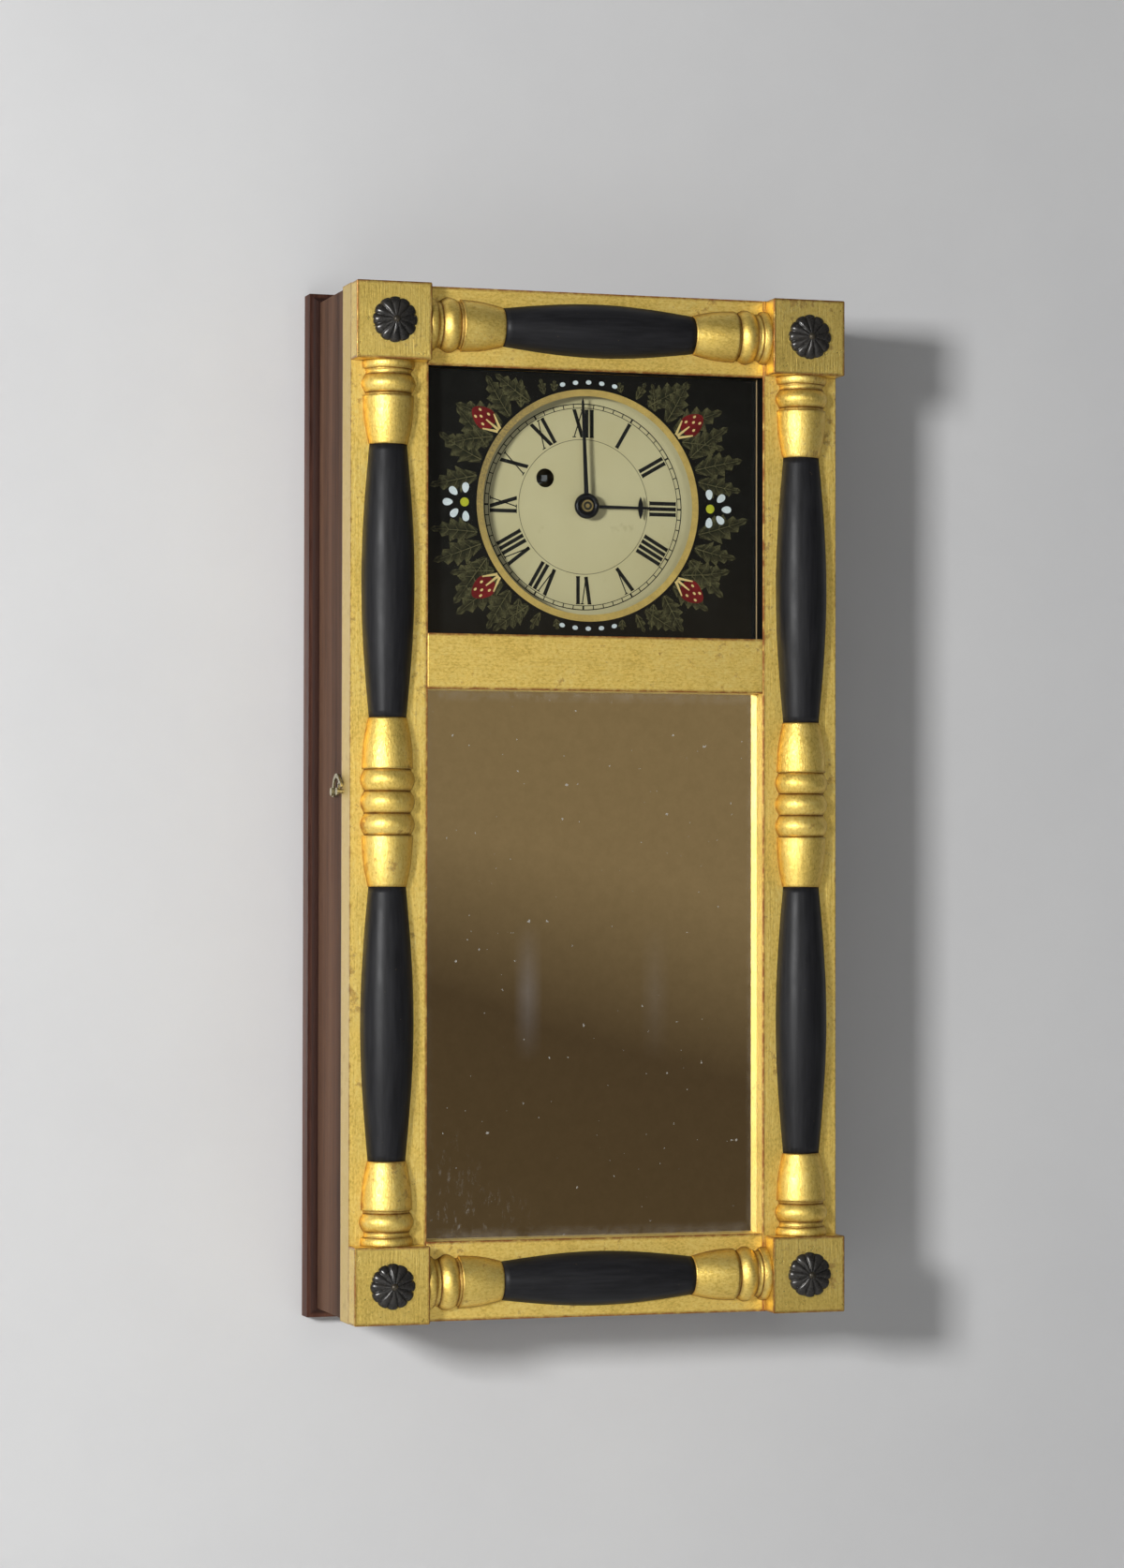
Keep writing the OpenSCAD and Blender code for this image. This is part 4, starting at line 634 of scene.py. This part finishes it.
column_x = DOOR_HIGH.x - BLOCK / 2
column_z = DOOR_HIGH.z - BLOCK / 2 - DOOR_Z
feet = [Vector((side * column_x, DOOR_FRONT, DOOR_LOW.z + BLOCK)) for side in (-1, 1)]
columns("upright_split_columns", "upright_columns", UPRIGHT, feet, True, [gilt_turned_up, ebony_up])
feet = [Vector((DOOR_LOW.x + BLOCK, DOOR_FRONT, DOOR_Z + side * column_z)) for side in (-1, 1)]
columns("level_split_columns", "level_columns", LEVEL, feet, False, [gilt_turned_level, ebony_level])

CORNERS = ((-1, -1), (-1, 1), (1, -1), (1, 1))
# Cast rosettes, in millimetres: rounded petals round a nail head
PETALS, PETAL_STEPS, ROSETTE_ROWS = 12, 16, 20
ROSETTE_R, ROSETTE_H, ROSETTE_RIM = 16.5, 6.5, 1.0
PETAL_BULGE, VALLEY, VALLEY_START, VALLEY_RUN = 0.07, 1.5, 0.14, 0.4
NAIL_R, NAIL_H, NAIL_SUNK, NAIL_ROWS, NAIL_AROUND = 2.7, 2.2, 0.6, 6, 24


def rosette_point(share, angle):
    """Radius and height of a rosette at a share of the way out: half round petals on a dome."""
    phase = (angle * PETALS / tau + 0.5) % 1.0 - 0.5
    crown = sqrt(max(0.0, 1 - (2 * phase) ** 2))
    rim = ROSETTE_R * (1 - PETAL_BULGE + PETAL_BULGE * crown)
    dome = ROSETTE_RIM + (ROSETTE_H - ROSETTE_RIM) * sqrt(1 - 0.95 * share * share)
    valley = VALLEY * min(1.0, max(0.0, (share - VALLEY_START) / VALLEY_RUN))
    return rim * share, max(ROSETTE_RIM / 2, dome - valley * (1 - crown))


def lathe_faces(first, rows, around):
    """Faces between rows of points that run round and close."""
    faces = []
    for i in range(rows):
        for k in range(around):
            a = first + i * around + k
            b = first + i * around + (k + 1) % around
            faces.append((a, b, b + around, a + around))
    return faces


def rosettes():
    points, faces, kinds = [], [], []
    around = PETALS * PETAL_STEPS
    turns = [tau * k / around for k in range(around)]
    for side_x, side_z in CORNERS:
        x, z = side_x * column_x, DOOR_Z + side_z * column_z

        def add(radius, angle, height):
            across, up = polar(radius, angle)
            points.append((x + across * MM, BLOCK_FRONT - height * MM, z + up * MM))
        first = len(points)
        for i in range(ROSETTE_ROWS + 1):
            for angle in turns:
                radius, height = rosette_point(max(0.1, i / ROSETTE_ROWS), angle)
                add(radius, angle, height)
        for angle in turns:
            add(rosette_point(1.0, angle)[0], angle, 0.0)
        cast = lathe_faces(first, ROSETTE_ROWS + 1, around)
        nail = len(points)
        for i in range(NAIL_ROWS + 1):
            lift = pi / 2 * i / NAIL_ROWS
            height = ROSETTE_H - NAIL_SUNK + NAIL_H * sin(lift)
            for k in range(NAIL_AROUND):
                add(NAIL_R * cos(lift), tau * k / NAIL_AROUND, height)
        head = lathe_faces(nail, NAIL_ROWS, NAIL_AROUND)
        faces += cast + head
        kinds += [0] * len(cast) + [1] * len(head)
    mats = [cast_rosette, rosette_nail]
    obj = solid("cast_rosettes", points, faces, mats, "door", kinds)
    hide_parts("rosettes")


rosettes()

# Points round an oval, and the angle in radians where the gilt ring's painted shade is deepest
OVAL_STEPS, PAINTED_SHADE_ANGLE = 28, 2.7


class Drawing:
    """Flat shapes in the plane of the dial, in millimetres from the dial's centre."""

    def __init__(self):
        self.points, self.faces, self.shade = [], [], []
        self.layer = 0.0

    def shape(self, outline, shade=0.0):
        """One face, turned to the front. shade is one value, or a list by point."""
        shades = shade if isinstance(shade, list) else [shade] * len(outline)
        area = sum(a[0] * b[1] - b[0] * a[1] for a, b in zip(outline, outline[1:] + outline[:1]))
        turn = 1 if area > 0 else -1
        first = len(self.points)
        self.points += [(x, self.layer, z) for x, z in outline[::turn]]
        self.shade += shades[::turn]
        self.faces.append(tuple(range(first, first + len(outline))))

    def stroke(self, a, b, width_a, width_b=None):
        """A straight stroke, which may change its width."""
        width_b = width_b or width_a
        length = hypot(b[0] - a[0], b[1] - a[1])
        nx, ny = (a[1] - b[1]) / length, (b[0] - a[0]) / length
        corners = ((a, width_a), (a, -width_a), (b, -width_b), (b, width_b))
        self.shape([(x + nx * width / 2, z + ny * width / 2) for (x, z), width in corners])

    def ring(self, inner, outer, steps=180, painted_shade=0.0):
        """A flat ring, with an optional stretch of painted shade at its upper left."""
        for k in range(steps):
            a, b = tau * k / steps, tau * (k + 1) / steps
            # Painted shade, strongest at the upper left
            shade = [painted_shade * max(0.0, cos(t - PAINTED_SHADE_ANGLE)) ** 2 for t in (a, a, b, b)]
            self.shape([polar(inner, a), polar(outer, a), polar(outer, b), polar(inner, b)], shade)

    def oval(self, centre, along, across, angle, taper=0.0, shade=0.0):
        (x, z), c, s = centre, cos(angle), sin(angle)
        outline = []
        for k in range(OVAL_STEPS):
            a = tau * k / OVAL_STEPS
            u = along / 2 * cos(a)
            v = across / 2 * sin(a) * (1 - taper * cos(a))
            outline.append((x + u * c - v * s, z + u * s + v * c))
        self.shape(outline, shade)

    def piece(self, name, depth, mat, body):
        points = [(DIAL_X + x * MM, depth + y * MM, DIAL_Z + z * MM) for x, y, z in self.points]
        solid(name, points, self.faces, [mat], body, None, False, {"shade": self.shade})

    def on_glass(self, name, depth, mat, slot="tablet_glass"):
        self.piece(name, TABLET_BACK + depth * MM, mat, "door")


# Dial markings
ink = flat_paint("dial_ink", (0.012, 0.012, 0.012), 0.5, 0.55)
NUMERALS = "I II III IIII V VI VII VIII IX X XI XII".split()
GLYPH_W = {"I": 4.1, "V": 8.2, "X": 8.8}
NUMERAL_IN, NUMERAL_OUT = 51.8, 71.9
THICK, THIN, SERIF, GLYPH_MARGIN = 2.75, 0.85, 0.75, 1.3
# Half widths of the serifs at a figure's thick and its thin stroke
SERIFS = {"I": (1.6, 1.6), "V": (1.5, 1.3), "X": (1.4, 1.4)}
TRACKS = ((76.0, 76.7), (73.1, 73.6), (49.8, 50.15))
TICK_IN, TICK_OUT, TICK_WIDE, TICK_FINE, INK_LIFT = 73.3, 76.5, 1.3, 0.7, 0.06


def numeral(drawing, text, angle):
    """Roman figures that stand with their feet to the centre."""
    c, s = cos(angle), sin(angle)

    def at(x, r):
        return (s * x + c * r, s * r - c * x)

    def serif(x, r, half):
        drawing.stroke(at(x - half, r), at(x + half, r), SERIF)

    x = -sum(GLYPH_W[glyph] for glyph in text) / 2
    for glyph in text:
        w = GLYPH_W[glyph]
        middle = x + w / 2
        side = w / 2 - GLYPH_MARGIN
        thick, thin = SERIFS[glyph]
        if glyph == "I":
            drawing.stroke(at(middle, NUMERAL_IN), at(middle, NUMERAL_OUT), THICK)
            serif(middle, NUMERAL_IN, thick)
            serif(middle, NUMERAL_OUT, thick)
        else:
            foot, ends = (side, (NUMERAL_IN, NUMERAL_OUT)) if glyph == "X" else (0.0, (NUMERAL_OUT,))
            drawing.stroke(at(middle - side, NUMERAL_OUT), at(middle + foot, NUMERAL_IN), THICK)
            drawing.stroke(at(middle + side, NUMERAL_OUT), at(middle - foot, NUMERAL_IN), THIN)
            for end in ends:
                serif(middle - side, end, thick)
                serif(middle + side, end, thin)
        x += w


def dial_markings():
    drawing = Drawing()
    for hour, text in enumerate(NUMERALS, 1):
        numeral(drawing, text, radians(90 - 30 * hour))
    for track in TRACKS:
        drawing.ring(*track)
    for minute in range(60):
        angle = radians(6 * minute)
        width = TICK_FINE if minute % 5 else TICK_WIDE
        drawing.stroke(polar(TICK_IN, angle), polar(TICK_OUT, angle), width)
    drawing.piece("dial_markings", DIAL_FACE - INK_LIFT * MM, ink, "case")


dial_markings()

# Painting on the back of the dial glass, in millimetres: each layer by its distance behind the glass
GROUND_DEPTH, LEAF_DEPTH, VEIN_DEPTH, RING_DEPTH, STROKE_DEPTH = 0.12, 0.09, 0.07, 0.05, 0.03
# Gilt ring: inner and outer radius, steps round it, and the strength of its painted shade at the upper left
RING_IN, RING_OUT, RING_STEPS, RING_PAINTED_SHADE = 80.8, 85.8, 240, 0.8
PAINT_GAP = 0.05
LEFT = (SIGHT_LEFT - DIAL_X) / MM + PAINT_GAP
RIGHT = (SIGHT_RIGHT - DIAL_X) / MM - PAINT_GAP
TOP = (TABLET_TOP - DIAL_Z) / MM - PAINT_GAP
BOTTOM = (TABLET_BOTTOM - DIAL_Z) / MM + PAINT_GAP
ground_paint = flat_paint("tablet_black", (0.005, 0.005, 0.0047), 0.35, 0.4)
leaf_paint = flat_paint("leaf_olive", (0.012, 0.0125, 0.007), 0.45, 0.5, (0.155, 0.138, 0.06))
vein_paint = flat_paint("leaf_veins", (0.12, 0.105, 0.045), 0.5)
berry_paint = flat_paint("berry_red", (0.19, 0.010, 0.013), 0.35, 0.45, (0.07, 0.003, 0.004))
calyx_paint = flat_paint("cream_strokes", (0.72, 0.54, 0.22), 0.2)
petal_paint = flat_paint("white_petals", (0.62, 0.68, 0.72), 0.15, 0.5, (0.86, 0.87, 0.86))
heart_paint = flat_paint("yellow_hearts", (0.5, 0.5, 0.035), 0.2)
# The gilt ring's second colour is painted shade, for its dimmer reflection at the upper left
ring_paint = flat_paint("gilt_ring", (0.62, 0.43, 0.13), 0.16, 0.42, (0.17, 0.135, 0.08), metallic=0.25)


def rim_point(angle):
    """Where a line from the dial's centre meets the edge of the opening."""
    c, s = cos(angle), sin(angle)
    across = RIGHT / c if c > 1e-6 else LEFT / c if c < -1e-6 else inf
    up = TOP / s if s > 1e-6 else BOTTOM / s if s < -1e-6 else inf
    return polar(min(across, up), angle)


def ground():
    drawing = Drawing()
    corners = [atan2(z, x) % tau for x in (LEFT, RIGHT) for z in (BOTTOM, TOP)]
    angles = sorted({tau * k / RING_STEPS for k in range(RING_STEPS)} | set(corners))
    for a, b in zip(angles, angles[1:] + [angles[0] + tau]):
        drawing.shape([polar(RING_IN, a), rim_point(a), rim_point(b), polar(RING_IN, b)])
    drawing.on_glass("tablet_ground", GROUND_DEPTH, ground_paint)


# Leaves: place of the widest point, depth of the notches, lean of the teeth, light on teeth and notches
WIDEST, NOTCH, LEAN, TOOTH_LIGHT, NOTCH_LIGHT = 0.35, 0.55, 0.7, 0.95, 0.2
RIB_W, VEIN_W, FINE_W, VEIN_REACH = 0.55, 0.35, 0.1, 0.85


def leaf(blades, veins, base, angle, length, width, teeth, bend):
    """A toothed leaf painted from its midrib: dark in the middle and lighter at the teeth."""
    steps = teeth * 2
    rib, left, right = [], [], []
    for i in range(steps + 1):
        t = i / steps
        c, s = cos(angle + bend * t), sin(angle + bend * t)
        x = base[0] + length * t * cos(angle + bend * t / 2)
        z = base[1] + length * t * sin(angle + bend * t / 2)
        rib.append((x, z))
        half = width / 2 * min(0.3 + 0.7 * t / WIDEST, (1 - t) / (1 - WIDEST)) ** 0.85
        half *= 1.0 if i % 2 else NOTCH
        lean = length / teeth * (LEAN if i % 2 else 0.0) * (1 - t)
        for side, edge in ((1, left), (-1, right)):
            edge.append((x + lean * c - side * half * s, z + lean * s + side * half * c))
    for edge in (left, right):
        for i in range(steps):
            light = [TOOTH_LIGHT if k % 2 else NOTCH_LIGHT for k in (i + 1, i)]
            blades.shape([rib[i], rib[i + 1], edge[i + 1], edge[i]], [0.0, 0.0, *light])
    for i in range(steps - 1):
        rib_width = RIB_W * (1 - i / steps)
        veins.stroke(rib[i], rib[i + 1], rib_width + 0.15, rib_width + FINE_W)
    for i in range(1, steps - 2, 2):
        for edge in (left, right):
            end = [r + (tip - r) * VEIN_REACH for r, tip in zip(rib[i], edge[i])]
            veins.stroke(rib[i - 1], end, VEIN_W, FINE_W)


# Sprays of leaves on one half of the ring, in degrees, with their count of leaves
SPRAYS = ((20, 3), (44, 4), (66, 3), (114, 3), (136, 4), (160, 3))
LEAF_ROOT, LEAF_SPREAD, ROOT_SPREAD, SPREAD_DRIFT, LEAF_BEND = 88, 30, 0.22, 6, 14
LEAF_LENGTHS, MOST_ROOM, TIP_GAP, EDGE_GAP = (33, 43), 46, 4, 1.5
SHORTEST, SHORT_LEAF, NARROWEST, LEAF_WIDTH = 7, 16, 8.0, 0.6
LEAF_STEP, LEAF_LAYERS = 0.0025, 8


def leaf_room(base, angle):
    """Room for a leaf before the edge of the opening, in whole millimetres."""
    room = 0.0
    while room < MOST_ROOM:
        x = base[0] + (room + TIP_GAP) * cos(angle)
        z = base[1] + (room + TIP_GAP) * sin(angle)
        if not (LEFT + EDGE_GAP < x < RIGHT - EDGE_GAP and BOTTOM + EDGE_GAP < z < TOP - EDGE_GAP):
            break
        room += 1.0
    return room


def leaves():
    """Sprays of toothed leaves all round the ring, pointing outwards, with neighbours on other layers."""
    blades, veins = Drawing(), Drawing()
    painted = 0
    pick = random.Random(7)
    for degrees, count in [(half + place, count) for half in (0, 180) for place, count in SPRAYS]:
        for k in range(count):
            spread = (k - (count - 1) / 2) * LEAF_SPREAD + pick.uniform(-SPREAD_DRIFT, SPREAD_DRIFT)
            base = polar(LEAF_ROOT, radians(degrees + spread * ROOT_SPREAD))
            angle = radians(degrees + spread)
            length = min(leaf_room(base, angle), pick.uniform(*LEAF_LENGTHS))
            if length < SHORTEST:
                continue
            teeth = 3 if length < SHORT_LEAF else 5
            blades.layer = veins.layer = LEAF_STEP * (painted % LEAF_LAYERS)
            painted += 1
            bend = radians(pick.uniform(-LEAF_BEND, LEAF_BEND))
            leaf(blades, veins, base, angle, length, max(NARROWEST, length * LEAF_WIDTH), teeth, bend)
    blades.on_glass("tablet_leaves", LEAF_DEPTH, leaf_paint)
    veins.on_glass("tablet_leaf_veins", VEIN_DEPTH, vein_paint)


# Berries towards the corners, with strokes and seeds by (out, across)
BERRY_CORNER, BERRY_OUT, BERRY_SIZE, BERRY_TAPER, BERRY_SHADE = (80, 62), 102.5, (20, 15.5), 0.3, 0.6
CALYX_TILTS, CALYX_ROOT, CALYX_OUT = (-0.62, 0.0, 0.62), (87.2, 2.2), (89, 10.5, 12)
SEEDS = ((99.5, 4.3), (100.5, -4.2), (104, 0.6), (107.2, 3.4), (107.6, -2.8))
# Half daisies beside the ring: petals by angle and distance from the heart
DAISY_X, HEART_D, PETAL_SIZE = 95, 6.6, (7.6, 5.2)
DAISY = ((86, 10.6), (137, 11.6), (181, 12.8), (226, 11.2), (275, 10.4))
DOT_OUT, DOT_DEGREES, DOT_SIZE = 91, 6.4, (4.2, 3.2)


def ornaments():
    """Ring, four berries, two half daisies and two arcs of dots."""
    ring, berries, strokes, petals, hearts = Drawing(), Drawing(), Drawing(), Drawing(), Drawing()
    ring.ring(RING_IN, RING_OUT, RING_STEPS, RING_PAINTED_SHADE)
    half_shade = [0.0] * (OVAL_STEPS // 2) + [BERRY_SHADE] * (OVAL_STEPS // 2)
    for side_x, side_z in CORNERS:
        angle = atan2(side_z * BERRY_CORNER[1], side_x * BERRY_CORNER[0])
        c, s = cos(angle), sin(angle)

        def at(out, across):
            return (c * out - s * across, s * out + c * across)
        berries.oval(at(BERRY_OUT, 0), *BERRY_SIZE, angle, BERRY_TAPER, half_shade)
        for tilt in CALYX_TILTS:
            out, long, wide = CALYX_OUT
            tip = at(out + long * cos(tilt), wide * sin(tilt))
            strokes.stroke(at(CALYX_ROOT[0], CALYX_ROOT[1] * tilt), tip, 2.1, 1.0)
        for seed in SEEDS:
            strokes.oval(at(*seed), 2.6, 1.7, angle)
    for side in (-1, 1):
        for degrees, distance in DAISY:
            a = radians(degrees if side < 0 else 180 - degrees)
            centre = (side * DAISY_X + distance * cos(a), distance * sin(a))
            petals.oval(centre, *PETAL_SIZE, a, -0.2, 0.35)
        hearts.oval((side * DAISY_X, 0), HEART_D, HEART_D, 0)
    for middle in (90, 270):
        for k in range(-2, 3):
            a = radians(middle + DOT_DEGREES * k)
            petals.oval(polar(DOT_OUT, a), *DOT_SIZE, a + pi / 2, 0.0, 0.3)
    ring.on_glass("tablet_gilt_ring", RING_DEPTH, ring_paint, "gold_leaf")
    berries.on_glass("tablet_berries", RING_DEPTH, berry_paint)
    strokes.on_glass("tablet_cream_strokes", STROKE_DEPTH, calyx_paint)
    petals.on_glass("tablet_petals", STROKE_DEPTH, petal_paint)
    hearts.on_glass("tablet_daisy_hearts", STROKE_DEPTH, heart_paint)


ground()
leaves()
ornaments()

# Weight cord, in millimetres: drum and pulleys by x, z and the radius of the cord's middle
CORD_R, CORD_SIDES = 0.8, 10
CORD_Y = -56.25
DRUM = (-31.5, -79.05, 8.24)
TOP_PULLEY = (-53.26, 2.5, 30.0)
WEIGHT_PULLEY = (-98.26, -464.0, 15.0)
HOOK_Z, HOOK_EYE_R = 19.5, 2.4
DRUM_STEPS, RISE_STEPS, TOP_STEPS, EYE_STEPS, LOOP_STEPS, FALL_STEPS = 24, 16, 40, 28, 32, 60


def tube(name, path, body, across=Vector((0, 1, 0))):
    """A round cord with closed ends, along a path of points that lies flat to a direction."""
    points = []
    for i, p in enumerate(path):
        ahead = path[min(i + 1, len(path) - 1)]
        behind = path[max(i - 1, 0)]
        direction = (ahead - behind).normalized()
        side = across.cross(direction).normalized()
        other = direction.cross(side)
        for k in range(CORD_SIDES):
            a = tau * k / CORD_SIDES
            points.append((p + (side * cos(a) + other * sin(a)) * CORD_R) * MM)
    faces = lathe_faces(0, len(path) - 1, CORD_SIDES)
    faces.append(tuple(reversed(range(CORD_SIDES))))
    faces.append(tuple(range(len(points) - CORD_SIDES, len(points))))
    obj = solid(name, points, faces, [linen], body)
    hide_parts("weight_cord")
    return obj


def arc(centre, start, end, steps):
    """Points on a circle in the cord's plane, by angle in degrees."""
    x, z, radius = centre
    turns = [radians(start + (end - start) * i / steps) for i in range(steps + 1)]
    return [Vector((x + radius * cos(a), CORD_Y, z + radius * sin(a))) for a in turns]


def straight(x, low, high, steps):
    return [Vector((x, CORD_Y, low + (high - low) * i / steps)) for i in range(steps + 1)]


def cord():
    """A run over the top pulley, two strands that shorten, and the loop under the weight's pulley."""
    up = DRUM[0] + DRUM[2]
    down = TOP_PULLEY[0] - TOP_PULLEY[2]
    hook_x = WEIGHT_PULLEY[0] - WEIGHT_PULLEY[2]
    rise = straight(up, DRUM[1], TOP_PULLEY[1], RISE_STEPS)
    run = arc(DRUM, -180, 0, DRUM_STEPS) + rise[1:] + arc(TOP_PULLEY, 0, 180, TOP_STEPS)[1:]
    tube("cord_over_pulley", run, "case")
    eye = arc((0.0, HOOK_Z, HOOK_EYE_R), -90, 270, EYE_STEPS)
    tube("cord_hook_loop", [Vector((hook_x, CORD_Y + p.x, p.z)) for p in eye], "case", Vector((1, 0, 0)))
    tube("cord_under_weight_pulley", arc(WEIGHT_PULLEY, 180, 360, LOOP_STEPS), "weight")
    foot = WEIGHT_PULLEY[1]
    strands = (
        ("cord_falling_strand", down, TOP_PULLEY[1]), ("cord_standing_strand", hook_x, HOOK_Z - HOOK_EYE_R),
    )
    for name, x, top in strands:
        strand = tube(name, straight(x, foot, top, FALL_STEPS), "case")
        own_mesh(strand)


cord()

# Stage, lamps and camera, in metres
WALL_Y, FLOOR_Z, STAGE_HALF, STAGE_TOP, FLOOR_HALF = 0.0006, -1.25, 4.0, 2.6, 5.0
# The card that curves round the front: radius, first angle and step in degrees, points
CARD_R, CARD_FROM, CARD_STEP, CARD_POINTS = 2.3, 85, 5, 35
# Light streaks on the card by place and strength, their height and half sizes
STREAKS = ((0.586, 0.068), (0.74, 0.023))
STREAK_Z, STREAK_W, STREAK_H = -0.52, 0.018, 0.09
CLOCK_MIDDLE = (0, -0.1, -0.32)
CAMERA_PLACE, CAMERA_TARGET = Vector((-0.9132, -2.9903, -0.3725)), Vector((-0.0326, -0.137, -0.30625))
LENS_MM, SENSOR_MM, ROLL_DEGREES = 94.37, 36.0, 0.09


def sheet(name, rows, mat):
    """A stage surface between two rows of points."""
    low, high = rows
    count = len(low)
    faces = [(k, k + 1, count + k + 1, count + k) for k in range(count - 1)]
    obj = put(name, new_mesh(name, low + high, faces, [mat]))
    return obj


def wall_paint():
    """Pale plaster, seen only from the room and open to lamp light from behind."""
    paint = Paint("pale_wall", Roughness=0.9)
    cloud = paint.noise(3, seed=1)
    paint.set("Base Color", paint.ramp(cloud, (0.3, (0.605, 0.605, 0.61)), (0.7, (0.645, 0.645, 0.645))))
    paint.bump(paint.noise(260, 4, 0.6), 0.04, 0.0005)
    back = paint.add("NewGeometry").outputs["Backfacing"]
    shadow = paint.add("LightPath").outputs["Is Shadow Ray"]
    clear = paint.add("BsdfTransparent")
    paint.surface(paint.either(paint.most(back, shadow), paint.shader, clear))
    return paint.mat


def floor_paint():
    paint = Paint("pale_floor", Roughness=0.85)
    cloud = paint.noise(2, seed=9)
    paint.set("Base Color", paint.ramp(cloud, (0.3, (0.62, 0.62, 0.62)), (0.7, (0.66, 0.66, 0.655))))
    return paint.mat


def room_card():
    """What the mirror shows of a plain room: brown above a dark band, seen only in sharp reflections."""
    paint = Paint("room_card")
    height = paint.axis(2)
    across = paint.axis(0)
    drift = paint.noise(2.2, 4, 0.6, seed=3)
    slope = paint.remap(across, 0.36, 0.96, -0.1, 0.1)
    slope = paint.times(slope, paint.remap(height, -0.45, -0.15, 1.0, 0.0))
    level = paint.plus(height, paint.times(paint.minus(drift, 0.5), 0.05))
    level = paint.plus(level, slope)
    shade = paint.ramp(
        paint.remap(level, -1.3, 0.6), (0.0, (0.11, 0.074, 0.035)), (0.28, (0.078, 0.051, 0.023)),
        (0.38, (0.072, 0.047, 0.022)), (0.50, (0.215, 0.15, 0.069)), (0.64, (0.215, 0.15, 0.066)),
        (0.72, (0.07, 0.052, 0.03)),
    )
    spots = []
    for x, strength in STREAKS:
        sideways = paint.remap(paint.absolute(paint.minus(across, x)), 0.0, STREAK_W, 1.0, 0.0)
        upright = paint.remap(paint.absolute(paint.minus(height, STREAK_Z)), 0.0, STREAK_H, 1.0, 0.0)
        spots.append(paint.times(paint.times(sideways, upright), strength))
    colour = paint.mix(paint.plus(*spots), shade, (0.8, 0.86, 1.0), "ADD")
    glow = paint.add("Emission", {"Color": colour, "Strength": 1.0})
    clear = paint.add("BsdfTransparent")
    sharp = paint.add("LightPath").outputs["Is Singular Ray"]
    paint.surface(paint.either(sharp, clear, glow), keep=False)
    return paint.mat


def stage():
    ends = (-STAGE_HALF, STAGE_HALF)
    sheet("wall", [[(x, WALL_Y, z) for x in ends] for z in (FLOOR_Z, STAGE_TOP)], wall_paint())
    sheet("floor", [[(x, y, FLOOR_Z) for x in ends] for y in (-FLOOR_HALF, FLOOR_HALF)], floor_paint())
    turns = [radians(CARD_FROM - CARD_STEP * k) for k in range(CARD_POINTS)]
    edge = [(CARD_R * sin(a), -CARD_R * cos(a)) for a in turns]
    card = sheet("room_card", [[(x, y, z) for x, y in edge] for z in (FLOOR_Z, STAGE_TOP)], room_card())
    card.visible_camera = False
    card.visible_diffuse = False
    card.visible_shadow = False
    card.visible_transmission = False


def lamp(name, place, target, watts, size):
    light = bpy.data.lights.new(name, "AREA")
    light.energy = watts
    light.size = size
    obj = put(name, light)
    obj.location = place
    obj.rotation_euler = (Vector(target) - Vector(place)).to_track_quat("-Z", "Y").to_euler()


def light():
    lamp("key_lamp", (-2.15, -2.35, 0.085), CLOCK_MIDDLE, watts=84, size=0.43)
    lamp("fill_lamp", (0.02, -3.6, -0.2), CLOCK_MIDDLE, watts=10, size=0.7)
    lamp("back_lamp", (0, 3.0, -0.32), (0, 0, -0.32), watts=60, size=1.0)
    world = bpy.data.worlds.new("room")
    world.use_nodes = True
    background = world.node_tree.nodes["Background"]
    background.inputs["Color"].default_value = (0.97, 0.985, 1.0, 1.0)
    background.inputs["Strength"].default_value = 0.11
    SCENE.world = world


def camera():
    data = bpy.data.cameras.new("photo_camera")
    data.lens = LENS_MM
    data.sensor_width = SENSOR_MM
    obj = put("photo_camera", data)
    aim = (CAMERA_TARGET - CAMERA_PLACE).to_track_quat("-Z", "Y").to_matrix()
    turn = aim @ Matrix.Rotation(radians(ROLL_DEGREES), 3, "Z")
    obj.matrix_world = Matrix.Translation(CAMERA_PLACE) @ turn.to_4x4()
    SCENE.camera = obj


stage()
light()
camera()
bpy.context.scene.view_settings.view_transform = "Standard"
